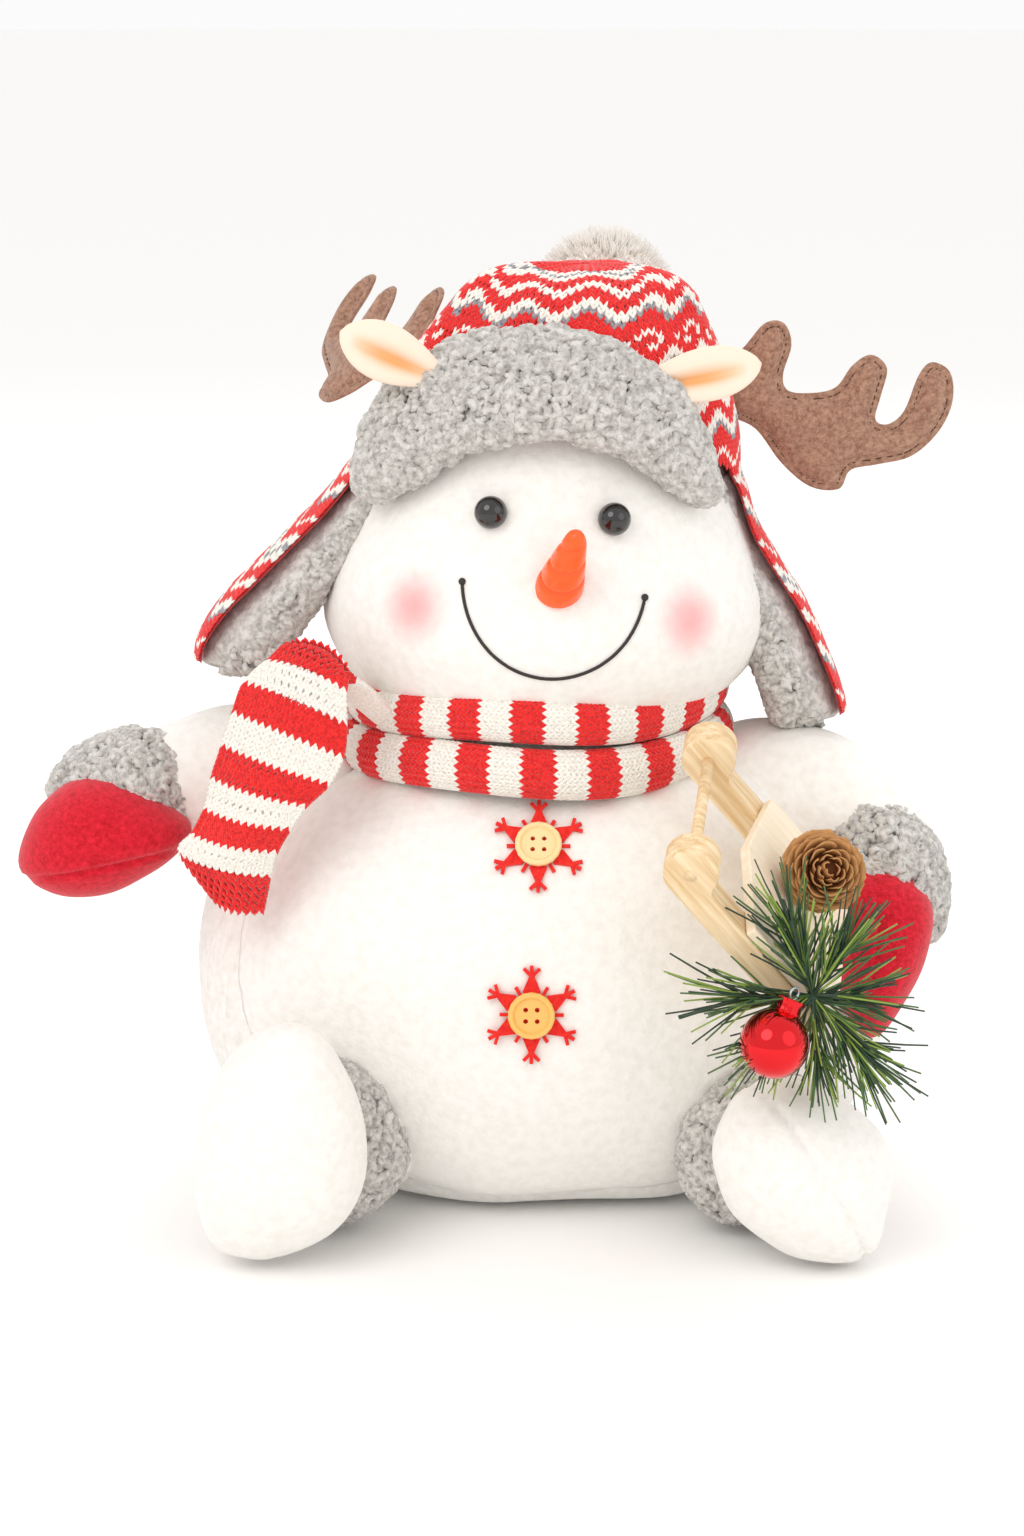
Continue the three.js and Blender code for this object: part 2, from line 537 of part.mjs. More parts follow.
function addBauble() {
  const axis = BAUBLE.hook.clone().sub(BAUBLE.at).normalize();
  const along = (geometry, distance) => {
    const at = BAUBLE.at.clone().addScaledVector(axis, distance);
    return geometry.applyQuaternion(facing(axis)).translate(at.x, at.y, at.z);
  };
  const neck = turned([[0, 0], [4.2, 0], [4.2, 5.2], [0, 5.2]], 16);
  const glass = ball(BAUBLE.at, BAUBLE.radius, 0, 16);
  piece(model, 'bauble', cut(glass, along(turned([[0, 0], [4.5, 0], [4.5, 9], [0, 9]], 16),
    BAUBLE.radius - 1)), COLOURS.glass, 0.1, 0.8);
  piece(model, 'bauble_cap', along(neck, BAUBLE.radius - 0.7), COLOURS.glass, 0.2, 0.9);
  const ring = new THREE.TorusGeometry(1.8, 0.45, 6, 10).rotateX(Math.PI / 2);
  piece(model, 'bauble_hook', closed(along(ring, BAUBLE.radius + 4.5 + 2.25 + GAP)), COLOURS.steel,
    0.3, 0.9);
}

// Room taken by the sprig's needles, a lens outside the front runner with the bauble kept clear
function addNeedles(group) {
  group.updateMatrixWorld(true);
  const lens = egg(vec(54, -74, 2), [33, 33, 6], vec(0, -1, 0));
  lens.applyMatrix4(group.matrixWorld);
  const cleared = cut(lens, ball(BAUBLE.at, BAUBLE.radius, 3.4), ball(BAUBLE.hook, 10),
    egg(vec(89, -124, 38), [28, 26, 41], vec(-0.55, 0.05, 0.85), 2, 0.5));
  piece(model, 'sprig_needles', cleared, COLOURS.green, 0.7);
}

function addPompom() {
  const at = vec(23, 67, 323.5);
  piece(model, 'pompom', cut(ball(at, 26.5), crownSolid(POMPOM_GAP)), COLOURS.cream);
}

addBody();
addHead();
addFace();
addTrim();
addHat();
addEar('l', vec(-50, -38, 311), degrees(158), degrees(25), 31);
addEar('r', vec(48, -46, 307), degrees(20), degrees(2), 38);
addAntler('l', vec(-50, 7, 307), degrees(-73), degrees(12), degrees(-39));
addAntler('r', vec(66, 0, 295), degrees(5), 0, 0);
addFlap('l', vec(-80, -4, 268), degrees(36));
addFlap('r', vec(80, -4, 268), degrees(30));
addScarf();
addLimbs();
const sled = sledGroup();
model.add(sled);
addSled(sled);
addSprig(sled);
addBauble();
addNeedles(sled);
addPompom();

export default model;
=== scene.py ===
"""Seated stuffed snowman, 35 cm tall, in a knitted hat with felt antlers, holding a small wooden sled.

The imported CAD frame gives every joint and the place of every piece. Metres, +Z up, the figure faces -Y,
and left and right are as seen from the front.
"""

import math
import random

import bmesh
import bpy
from mathutils import Matrix, Vector, noise


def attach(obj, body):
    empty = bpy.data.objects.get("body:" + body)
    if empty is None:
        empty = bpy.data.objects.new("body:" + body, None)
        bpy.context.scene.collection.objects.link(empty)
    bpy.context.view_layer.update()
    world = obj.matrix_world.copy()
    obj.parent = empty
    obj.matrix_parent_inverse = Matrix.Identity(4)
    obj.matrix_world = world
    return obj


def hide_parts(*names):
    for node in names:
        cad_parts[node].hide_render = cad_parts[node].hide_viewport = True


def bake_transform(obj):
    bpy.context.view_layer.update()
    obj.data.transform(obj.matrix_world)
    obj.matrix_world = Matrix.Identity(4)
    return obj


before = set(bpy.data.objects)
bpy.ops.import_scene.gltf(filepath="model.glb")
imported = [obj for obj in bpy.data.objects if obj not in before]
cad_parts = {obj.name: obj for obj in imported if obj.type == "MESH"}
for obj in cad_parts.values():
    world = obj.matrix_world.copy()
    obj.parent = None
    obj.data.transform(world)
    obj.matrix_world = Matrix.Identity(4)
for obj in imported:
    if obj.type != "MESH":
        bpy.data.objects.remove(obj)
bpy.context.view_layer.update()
MM = 0.001


# ---------------------------------------------------------------- camera, table top and studio light
# A tabletop product shot: a long lens a little above the figure, a white sweep under and behind it,
# and large soft lights, so that only pale contact shadows show.

EYE = Vector((-0.0125, -1.2667, 0.4441))
TARGET = Vector((-0.0125, 0, 0.1517))
LENS = 80.2
LAMPS = [
    ("key light", (-0.9, -1.3, 1.5), 1.3, 10, (1, 0.985, 0.965)),
    ("fill light", (1.3, -1.1, 0.9), 1.4, 3.5, (0.96, 0.98, 1)),
    ("back light", (0.3, 1.2, 1.5), 1.4, 8, (1, 1, 1)),
]
SWEEP = 30.0                     # the white sweep runs far enough out to fill every view


def linear(code):
    """The linear colour of an sRGB hex value."""
    parts = [int(code[i:i + 2], 16) / 255 for i in (1, 3, 5)]
    return [c / 12.92 if c <= 0.04045 else ((c + 0.055) / 1.055) ** 2.4 for c in parts] + [1]


def add(tree, kind, links=(), **settings):
    """Adds a shader node; settings name a property or an input, and links join (output, input)."""
    node = tree.nodes.new("ShaderNode" + kind)
    for name, value in settings.items():
        words = name.replace("_", " ")
        socket = next((s for s in node.inputs if s.name.lower() == words and s.enabled), None)
        if socket is None:
            setattr(node, name, value)
        else:
            socket.default_value = value
    for source, target in links:
        tree.links.new(source, node.inputs[target])
    return node


def new_material(name):
    """An empty material with its shader, and the tree to build in."""
    made = bpy.data.materials.new(name)
    made.use_nodes = True
    return made, made.node_tree, made.node_tree.nodes["Principled BSDF"]


def finish_shader(shader, **settings):
    """Sets the shader's own sockets, where one value holds all over the surface."""
    for name, value in settings.items():
        shader.inputs[name.replace("_", " ").title().replace("Ior", "IOR")].default_value = value


scene = bpy.context.scene
camera = bpy.data.objects.new("camera", bpy.data.cameras.new("camera"))
scene.collection.objects.link(camera)
camera.data.lens = LENS
camera.data.sensor_width = 36
camera.location = EYE
camera.rotation_euler = (TARGET - EYE).to_track_quat("-Z", "Y").to_euler()
scene.camera = camera

for lamp_name, place, size, power, tint in LAMPS:
    lamp = bpy.data.objects.new(lamp_name, bpy.data.lights.new(lamp_name, "AREA"))
    scene.collection.objects.link(lamp)
    lamp.data.shape = "DISK"
    lamp.data.size = size
    lamp.data.energy = power
    lamp.data.color = tint
    lamp.location = place
    lamp.rotation_euler = (Vector((0, 0, 0.15)) - Vector(place)).to_track_quat("-Z", "Y").to_euler()

world = bpy.data.worlds.new("studio")
scene.world = world
world.use_nodes = True
sky = world.node_tree.nodes["Background"]
sky.inputs["Color"].default_value = (1, 1, 1, 1)
sky.inputs["Strength"].default_value = 0.97
scene.view_settings.view_transform = "Standard"

paper, tree, shader = new_material("white sweep paper, matt")
finish_shader(shader, base_color=linear("#fdfcfa"), roughness=0.95, specular_ior_level=0.1)


def mesh_object(name, shape, *materials, smooth=True):
    """A finished mesh as an object at the origin, with its place in its vertices."""
    data = bpy.data.meshes.new(name)
    shape.to_mesh(data)
    shape.free()
    made = bpy.data.objects.new(name, data)
    scene.collection.objects.link(made)
    for finish in materials:
        data.materials.append(finish)
    data.polygons.foreach_set("use_smooth", [smooth] * len(data.polygons))
    return made


shape = bmesh.new()
bmesh.ops.create_circle(shape, cap_ends=True, segments=48, radius=SWEEP)
bmesh.ops.translate(shape, verts=shape.verts, vec=(0, 0, -0.0002))
mesh_object("white_sweep", shape, paper)


# ---------------------------------------------------------------- stuffed torso
# A round bag of polyester fleece over loose filling: a smooth front panel, and a back panel of ribbed
# plush. The two are sewn together down the sides with a seam that pulls in a little.

TORSO = [(0, 1.2), (60, 1), (80, 1.4), (98, 6), (113, 17), (124, 34), (131, 55), (132.5, 78), (128.5, 100),
         (119, 122), (104, 142), (85, 157), (62, 167), (40, 173), (0, 175)]
TORSO_DEPTH = 0.77
SEAM_AT = Vector((0, -0.058, 0.060))
SEAM_SLOPE = 0.33
RIB_COUNT = 132                  # ribs all round, about 6 mm apart at the widest
RIB_DEPTH = 1.7 * MM


def smooth_line(points, parts):
    """Points along the smooth curve through the given ones, parts of them to a span."""
    found = []
    last = len(points) - 1
    for i in range(last):
        a, b, c, d = (Vector(points[min(max(i + k, 0), last)]) for k in (-1, 0, 1, 2))
        for step in range(parts):
            t = step / parts
            found.append(0.5 * (2 * b + (c - a) * t + (2 * a - 5 * b + 4 * c - d) * t * t
                                + (3 * b - a - 3 * c + d) * t ** 3))
    return found + [Vector(points[-1])]


def turned(outline, steps):
    """A turned shape about Z from (radius, height) points in millimetres."""
    made = bmesh.new()
    line = smooth_line([(r, 0, z) for r, z in outline], 4)
    verts = [made.verts.new((max(p.x, 0) * MM, 0, p.z * MM)) for p in line]
    edges = [made.edges.new(pair) for pair in zip(verts, verts[1:])]
    bmesh.ops.spin(made, geom=verts + edges, cent=(0, 0, 0), axis=(0, 0, 1), angle=2 * math.pi,
                   steps=steps, use_merge=True)
    bmesh.ops.remove_doubles(made, verts=made.verts, dist=1e-5)
    bmesh.ops.recalc_face_normals(made, faces=made.faces)
    return made


def lumpy(made, size, depth, seed=0):
    """Moves a surface in and out by soft noise, as filling does under cloth."""
    made.normal_update()
    for v in made.verts:
        v.co += v.normal * depth * noise.noise(v.co / size + Vector((seed, 0, 0)))


def seam_distance(point):
    return (point.y - SEAM_AT.y - SEAM_SLOPE * (point.z - SEAM_AT.z)) / math.hypot(1, SEAM_SLOPE)


def half_torso(front, steps):
    """One side of the torso, cut at the seam and drawn in beside it."""
    made = turned(TORSO, steps)
    bmesh.ops.scale(made, vec=(1, TORSO_DEPTH, 1), verts=made.verts)
    lumpy(made, 0.045, 2.2 * MM)
    for v in made.verts:
        v.co.z = max(v.co.z, 0.8 * MM)
    side = 1 if front else -1
    made.normal_update()
    for v in made.verts:
        drawn_in = 2.2 * MM * math.exp(-(seam_distance(v.co) / 0.004) ** 2)
        if v.co.z > 0.004:
            v.co -= v.normal * drawn_in
    normal = Vector((0, 1, -SEAM_SLOPE)).normalized() * side
    cut = bmesh.ops.bisect_plane(made, geom=made.verts[:] + made.edges[:] + made.faces[:],
                                 plane_co=SEAM_AT, plane_no=normal, clear_outer=True)
    rim = [e for e in cut["geom_cut"] if isinstance(e, bmesh.types.BMEdge)]
    bmesh.ops.holes_fill(made, edges=rim)
    return made


# Anti-pilling polyester fleece: brushed knit with a dense, matt, very short nap. Pale, soft-edged shade
# from the fibres' sheen, and a faint pebble where the nap clumps every 2 to 3 mm.
def fleece_material(name, tint, blush=False):
    made, tree, shader = new_material(name)
    place = add(tree, "TexCoord").outputs["Object"]
    nap = add(tree, "TexNoise", [(place, "Vector")], scale=420, detail=3, roughness=0.7)
    clumps = add(tree, "TexNoise", [(place, "Vector")], scale=260, detail=2)
    height = add(tree, "Math", [(nap.outputs[0], 0), (clumps.outputs[0], 1)], operation="ADD")
    bump = add(tree, "Bump", [(height.outputs[0], "Height")], strength=0.38, distance=0.0009)
    tree.links.new(bump.outputs[0], shader.inputs["Normal"])
    shade = add(tree, "ValToRGB", [(clumps.outputs[0], "Fac")])
    shade.color_ramp.elements[0].position = 0.3
    shade.color_ramp.elements[0].color = linear(tint[0])
    shade.color_ramp.elements[1].position = 0.62
    shade.color_ramp.elements[1].color = linear(tint[1])
    colour = shade.outputs[0]
    for centre in ([(-47, -66, 226), (50, -65, 221)] if blush else []):
        away = add(tree, "VectorMath", [(place, 0)], operation="DISTANCE")
        away.inputs[1].default_value = Vector(centre) * MM
        spread = add(tree, "MapRange", [(away.outputs["Value"], "Value")], interpolation_type="SMOOTHSTEP")
        for socket, value in zip(("From Min", "From Max", "To Min", "To Max"), (0.001, 0.0175, 0.72, 0)):
            spread.inputs[socket].default_value = value
        mixed = add(tree, "Mix", [(spread.outputs[0], "Factor")], data_type="RGBA")
        tree.links.new(colour, mixed.inputs["A"])
        mixed.inputs["B"].default_value = linear("#ff8e92")
        colour = mixed.outputs["Result"]
    tree.links.new(colour, shader.inputs["Base Color"])
    finish_shader(shader, roughness=0.95, specular_ior_level=0.15, sheen_weight=0.35, sheen_roughness=0.6)
    return made


WHITES = ("#eeeae3", "#f5f2ec")
fleece = fleece_material("white polyester fleece, brushed", WHITES)
ribbed_plush = fleece_material("white ribbed plush, cut pile", ("#ebe7df", "#f6f3ee"))


def on_body(piece, body, slot, *nodes):
    """Fixes a finished piece to its body, in place of its plain CAD solids."""
    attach(piece, body)
    if nodes:
        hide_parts(*nodes)
    return piece


front = mesh_object("torso_front_fleece", half_torso(True, 128), fleece)
on_body(front, "torso", "white_fleece", "body_front", "body_stuffing", "pellet_bag")

shape = half_torso(False, RIB_COUNT * 3)
shape.normal_update()
for v in shape.verts:
    angle = math.atan2(v.co.y / TORSO_DEPTH, v.co.x)
    fade = min(max((v.co.z - 0.008) / 0.02, 0), 1) * min(abs(seam_distance(v.co)) / 0.004, 1)
    if v.co.z < 0.168:
        v.co += v.normal * RIB_DEPTH * fade * (abs(math.cos(angle * RIB_COUNT / 2)) - 0.6)
back = mesh_object("torso_back_ribbed_plush", shape, ribbed_plush)
on_body(back, "torso", "ribbed_plush", "body_back", "base_panel")


# ---------------------------------------------------------------- head and face
# The head is a second fleece bag, egg-shaped, sewn to the torso under the scarf. The cheeks are airbrushed
# pink. Bead eyes sit on shanks, and the smile is one length of waxed thread with a knot at each end.

HEAD = [(0, 170), (46, 176), (63, 183), (76, 195), (83, 212), (81.5, 229), (75.5, 246), (67.5, 265),
        (58, 284), (46, 302), (30, 317), (13, 325), (0, 326.5)]
HEAD_DEPTH = 0.92
HEAD_Y = -6 * MM
SMILE = {"centre": 2.5, "height": 237, "reach": 32.5, "drop": 34.5, "tilt": math.radians(-5)}
THREAD = 0.62 * MM

face_fleece = fleece_material("white polyester fleece, airbrushed cheeks", WHITES, blush=True)
shape = turned(HEAD, 112)
bmesh.ops.scale(shape, vec=(1, HEAD_DEPTH, 1), verts=shape.verts)
bmesh.ops.translate(shape, vec=(0, HEAD_Y, 0), verts=shape.verts)
lumpy(shape, 0.04, 1.3 * MM, 7)
head = mesh_object("head_fleece", shape, face_fleece)
on_body(head, "torso", "white_fleece", "head_skin", "head_stuffing")


def onto(piece, start, direction):
    """The first point of a piece's surface along a direction, and the surface's normal there."""
    hit, point, normal, _ = piece.ray_cast(start, direction)
    if not hit:
        raise ValueError(f"nothing of {piece.name} lies that way")
    return point, normal


def ball(radius, centre, steps=32):
    made = bmesh.new()
    bmesh.ops.create_uvsphere(made, u_segments=steps, v_segments=steps // 2, radius=radius)
    bmesh.ops.translate(made, vec=centre, verts=made.verts)
    return made


# Injection-moulded polystyrene beads, polished near-black: tight, clear window highlights.
beads, tree, shader = new_material("black polystyrene bead, polished")
finish_shader(shader, base_color=linear("#15100f"), roughness=0.06, ior=1.59, coat_weight=0.4)
for side, x, z in (("left", -20, 260.5), ("right", 23.7, 258)):
    node = "eye_" + side[0]
    point, normal = onto(head, Vector((x * MM, -0.2, z * MM)), Vector((0, 1, 0)))
    shape = ball(5.9 * MM, point - Vector((0, 2.6, 0)) * MM, 40)
    on_body(mesh_object(f"eye_bead_{side}", shape, beads), "torso", "black_bead", node)


def skin(made, rings):
    """Joins rings of vertices, each to the next, with quads all round."""
    for low, high in zip(rings, rings[1:]):
        count = len(low)
        for k in range(count):
            made.faces.new((low[k], low[(k + 1) % count], high[(k + 1) % count], high[k]))


def rod(line, radius, sides=10, caps=True, taper=None):
    """A round rod along a line of points, with its radius tapered by a function of the way along."""
    made = bmesh.new()
    rings = []
    side = Vector((0, 0, 1))
    for i, point in enumerate(line):
        along = (line[min(i + 1, len(line) - 1)] - line[max(i - 1, 0)]).normalized()
        side = side - along * side.dot(along)
        if side.length < 1e-3:
            side = along.orthogonal()
        side = side.normalized()
        other = along.cross(side)
        here = radius * (taper(i / (len(line) - 1)) if taper else 1)
        turns = [2 * math.pi * k / sides for k in range(sides)]
        rings.append([made.verts.new(point + here * (math.cos(a) * side + math.sin(a) * other))
                      for a in turns])
    skin(made, rings)
    if caps:
        made.faces.new(rings[0][::-1])
        made.faces.new(rings[-1])
    bmesh.ops.recalc_face_normals(made, faces=made.faces)
    return made


def gather(shapes):
    """Several meshes as one."""
    whole = bmesh.new()
    for part in shapes:
        data = bpy.data.meshes.new("part")
        part.to_mesh(data)
        part.free()
        whole.from_mesh(data)
        bpy.data.meshes.remove(data)
    return whole


# Waxed polyester thread, near black, 1.2 mm: a dull line with a small knot at each end.
thread, tree, shader = new_material("black waxed polyester thread")
finish_shader(shader, base_color=linear("#2b2320"), roughness=0.6)
line = []
for step in range(49):
    angle = math.radians(-84 + 168 * step / 48)
    across, down = SMILE["reach"] * math.sin(angle), -SMILE["drop"] * math.cos(angle)
    x = SMILE["centre"] + across * math.cos(SMILE["tilt"]) - down * math.sin(SMILE["tilt"])
    z = SMILE["height"] + across * math.sin(SMILE["tilt"]) + down * math.cos(SMILE["tilt"])
    point, normal = onto(head, Vector((x * MM, -0.2, z * MM)), Vector((0, 1, 0)))
    line.append(point + normal * THREAD * 0.6)
ends = [ball(1.35 * MM, spot, 12) for spot in (line[0], line[-1])]
smile = mesh_object("smile_waxed_thread", gather([rod(line, THREAD)] + ends), thread)
on_body(smile, "torso", "dark_thread", "smile_cord")


# ---------------------------------------------------------------- carrot nose
# A moulded carrot with a spiral groove, pushed through the fleece on a peg. Its tip curls up.

CARROT = {"length": 30, "base": 9.0, "turns": 3.6, "groove": 0.24}
NOSE_AT = (4.5, 236)
NOSE_WAY = Vector((0.12, -0.8, 0.56)).normalized()

# Translucent polypropylene, orange: light soaks in a little, so the shade side stays warm.
carrot_skin, tree, shader = new_material("orange polypropylene, moulded")
finish_shader(shader, base_color=linear("#fb5f14"), roughness=0.25, subsurface_weight=0.25, ior=1.49)
shader.inputs["Subsurface Radius"].default_value = (0.004, 0.0015, 0.0008)
root, normal = onto(head, Vector((NOSE_AT[0] * MM, -0.2, NOSE_AT[1] * MM)), Vector((0, 1, 0)))
side = NOSE_WAY.orthogonal().normalized()
other = NOSE_WAY.cross(side)
shape = bmesh.new()
rings = []
for i in range(61):
    t = i / 60
    width = CARROT["base"] * ((1 - t) ** 0.7 * 0.72 + 0.28) * min((1.0 - t) / 0.06, 1) ** 0.5 + 0.1
    centre = root + NOSE_WAY * (t * (CARROT["length"] + 4) - 4) * MM + Vector((2, 0, 5)) * MM * t ** 2
    ring = []
    for k in range(36):
        angle = 2 * math.pi * k / 36
        groove = 1 - CARROT["groove"] * max(math.cos(angle - 2 * math.pi * CARROT["turns"] * t), 0) ** 3
        reach = width * groove * MM
        ring.append(shape.verts.new(centre + reach * (math.cos(angle) * side + math.sin(angle) * other)))
    rings.append(ring)
for low, high in zip(rings, rings[1:]):
    bmesh.ops.bridge_loops(shape, edges=[
        shape.edges.get((r[k], r[(k + 1) % 36])) or shape.edges.new((r[k], r[(k + 1) % 36]))
        for r in (low, high) for k in range(36)])
shape.faces.new(rings[0])
shape.faces.new(rings[-1])
bmesh.ops.recalc_face_normals(shape, faces=shape.faces)
on_body(mesh_object("carrot_nose_moulded", shape, carrot_skin), "torso", "carrot_plastic", "carrot_nose")


# ---------------------------------------------------------------- knitted hat crown
# A tube of jacquard machine knit in red, white and grey acrylic, 8-stitch repeat, pulled over the head and
# gathered under the pompom. Its top slouches to the right, so that the rows dip and wave.

CROWN = [(86, 206), (86, 214), (84, 229), (79, 246), (73.5, 263), (69.5, 280), (64, 294), (58.5, 305),
         (53.5, 315), (47, 325), (41.5, 333), (33, 338.5), (18, 341.5), (0, 342)]
CROWN_DEPTH = 0.9
CROWN_LEAN, LEAN_FROM = 0.2, 270
HAT_EDGE = {"z": 260, "y": -10, "slope": -0.52}
WALE, COURSE = 2.95, 2.0         # stitch width and row height, mm
ZIGZAG = [0, 0, 1, 2, 3, 3, 2, 1]
BANDS = "GWWRRRWWRRRWWGRRRRWRRRWW"       # colours from the top row down, along one zigzag
PLAIN_TOP = 9                    # rows of plain red above the pattern
YARN = "RWG"


def pattern(row, column):
    """The yarn of one stitch: rows are counted down from the plain top."""
    below = row - PLAIN_TOP
    return "R" if below < 0 else BANDS[(below - ZIGZAG[column % 8]) % len(BANDS)]


def hat_line():
    """The crown's outline from the top down, as points with the length so far."""
    line = smooth_line([(r, 0, z) for r, z in reversed(CROWN)], 12)
    run, found = 0, []
    for i, point in enumerate(line):
        run += (point - line[i - 1]).length if i else 0
        found.append((run, max(point.x, 0), point.z))
    return found


HAT_LINE = hat_line()


def crown_at(angle, run, out=0):
    """A point of the crown: angle round from the front, length down from the top, distance out, in mm."""
    for low, high in zip(HAT_LINE, HAT_LINE[1:]):
        if high[0] >= run:
            break
    t = min((run - low[0]) / max(high[0] - low[0], 1e-6), 1)
    radius = low[1] + (high[1] - low[1]) * t
    z = low[2] + (high[2] - low[2]) * t
    fold = min(run / 30, 1) * min(max((z - 285) / 30, 0), 1)
    radius += out + 1.3 * fold * math.sin(4 * angle + 0.6) - 0.4
    z += fold * (1.4 * math.sin(3 * angle - 0.9) + 0.9 * math.sin(5 * angle + 2.2))
    lean = CROWN_LEAN * max(z - LEAN_FROM, 0)
    return Vector((radius * math.sin(angle) + lean, -radius * CROWN_DEPTH * math.cos(angle) - 6, z)) * MM


def frame_at(surface, u, v, du, dv):
    """The place, the way across and along, and the outward normal, of a surface that takes (u, v)."""
    point = surface(u, v)
    across = surface(u + du, v) - surface(u - du, v)
    along = surface(u, v + dv) - surface(u, v - dv)
    return point, across.normalized(), along.normalized(), across.cross(along).normalized()


def stitch(wide, tall, thick):
    """One knit stitch: a V of two plump yarn lobes, point down, in 32 triangles."""
    lobes = []
    for side in (-1, 1):
        lobe = bmesh.new()
        bmesh.ops.create_cone(lobe, segments=4, radius1=1, radius2=1, depth=0.9, cap_ends=True)
        ends = [f for f in lobe.faces if len(f.verts) == 4 and abs(f.normal.z) > 0.9]
        for tip in bmesh.ops.poke(lobe, faces=ends)["verts"]:
            tip.co.z += math.copysign(0.62, tip.co.z)
        bmesh.ops.scale(lobe, vec=(wide * 0.27, thick, tall * 0.76), verts=lobe.verts)
        bmesh.ops.rotate(lobe, matrix=Matrix.Rotation(math.radians(90), 3, "X"), verts=lobe.verts)
        bmesh.ops.rotate(lobe, matrix=Matrix.Rotation(side * math.radians(-27), 3, "Z"), verts=lobe.verts)
        bmesh.ops.translate(lobe, vec=(side * wide * 0.235, 0, 0), verts=lobe.verts)
        lobes.append(lobe)
    made = gather(lobes)
    bmesh.ops.recalc_face_normals(made, faces=made.faces)
    return made


def copies(template, places, kinds):
    """Many copies of one small shape, each in its own place and of its own material."""
    spots = [v.co.copy() for v in template.verts]
    sides = [[v.index for v in f.verts] for f in template.faces]
    template.free()
    made = bmesh.new()
    for place, kind in zip(places, kinds):
        verts = [made.verts.new(place @ spot) for spot in spots]
        for side in sides:
            made.faces.new([verts[k] for k in side]).material_index = kind
    return made


def basis(point, across, along, out):
    """The matrix that puts a small shape at a point, with its X across, Y along and Z out."""
    return Matrix.Translation(point) @ Matrix((across, along, out)).transposed().to_4x4()


def fibrous(name, dark, light, span, bump, finish, **fibres):
    """A cloth of fine fibres: one noise in the piece's own space gives both its shade and its relief."""
    made, tree, shader = new_material(name)
    place = add(tree, "TexCoord").outputs["Object"]
    grain = add(tree, "TexNoise", [(place, "Vector")], **fibres).outputs[0]
    shade = add(tree, "ValToRGB", [(grain, "Fac")])
    for spot, at, code in zip(shade.color_ramp.elements, span, (dark, light)):
        spot.position = at
        spot.color = linear(code)
    tree.links.new(shade.outputs[0], shader.inputs["Base Color"])
    raised = add(tree, "Bump", [(grain, "Height")], strength=bump[0], distance=bump[1])
    tree.links.new(raised.outputs[0], shader.inputs["Normal"])
    finish_shader(shader, **finish)
    return made


# Two-ply acrylic knitting yarn, dyed: matt and soft, with a fine fuzz.
YARN_FINISH = {"roughness": 0.9, "specular_ior_level": 0.15, "sheen_weight": 0.3, "sheen_roughness": 0.5}
yarns = [fibrous(f"{name} acrylic yarn", dark, light, (0.3, 0.6), (0.4, 0.0004), YARN_FINISH,
                 scale=900, detail=2)
         for name, dark, light in (("red", "#c81d1f", "#ef2f2c"), ("white", "#e4ddd2", "#f6f2ea"),
                                   ("grey", "#77757b", "#a9a7aa"))]


def hat_edge_z(y):
    return HAT_EDGE["z"] + HAT_EDGE["slope"] * (y / MM - HAT_EDGE["y"])


def stitched(name, places, kinds, tall, thick):
    """Stitches at their places, each in its own yarn."""
    made = copies(stitch(WALE * MM, tall * MM, thick * MM), places, kinds)
    bmesh.ops.recalc_face_normals(made, faces=made.faces)
    return mesh_object(name, made, *yarns)


def knit_piece(name, surface, spots, step, tall):
    """A sheet of stitches over a surface; spots are (u, v, colour) and step is (du, dv)."""
    places, kinds = [], []
    for u, v, colour in spots:
        point, across, along, out = frame_at(surface, u, v, *step)
        places.append(basis(point - out * 0.1 * MM, across, -along, -out))
        kinds.append(YARN.index(colour))
    return stitched(name, places, kinds, tall, 0.55)


def hat_rows(first, last):
    """The stitches of the crown's rows that show below the gather and above the hat's edge."""
    spots = []
    for row in range(first, last):
        run = 4 + row * COURSE
        near = max(low[1] for low in HAT_LINE if low[0] <= run + 0.01)
        round_it = 144 if near > 52 else max(8 * round(near * 2 * math.pi / 8 / WALE), 16)
        for column in range(round_it):
            angle = 2 * math.pi * (column + 0.5) / round_it
            if crown_at(angle, run).z / MM < hat_edge_z(crown_at(angle, run).y):
                continue
            spots.append((angle, run, pattern(row, column)))
    return spots


shape = bmesh.new()
levels = [[crown_at(2 * math.pi * k / 144, run, -0.6) for k in range(144)] for run in range(3, 150, 3)]
rows = [[shape.verts.new(point) for point in level] for level in levels]
skin(shape, rows)
tip = shape.verts.new(crown_at(0, 0, -0.6))
for k in range(144):
    shape.faces.new((rows[0][k], tip, rows[0][(k + 1) % 144]))
slope = Vector((0, -HAT_EDGE["slope"], 1)).normalized()
bmesh.ops.bisect_plane(shape, geom=shape.verts[:] + shape.edges[:] + shape.faces[:],
                       plane_co=Vector((0, HAT_EDGE["y"], HAT_EDGE["z"] + 6)) * MM, plane_no=-slope,
                       clear_outer=True)
bmesh.ops.recalc_face_normals(shape, faces=shape.faces)
bmesh.ops.solidify(shape, geom=shape.faces[:], thickness=1.2 * MM)
bmesh.ops.recalc_face_normals(shape, faces=shape.faces)
crown = mesh_object("hat_crown_ground", shape, yarns[0])
on_body(crown, "torso", "hat_knit", "hat_crown")
for name, first, last in (("hat_crown_stitches_upper", 0, 28), ("hat_crown_stitches_lower", 28, 74)):
    spots = hat_rows(first, last)
    knit = knit_piece(name, crown_at, spots, (0.01, 1), COURSE * 1.5)
    on_body(knit, "torso", "hat_knit")


# ---------------------------------------------------------------- sherpa brim
# Grey curly fleece, turned up over the front of the hat in a soft roll. The curls are worms of matted
# polyester, 3 to 4 mm across, laid at random over the backing cloth.

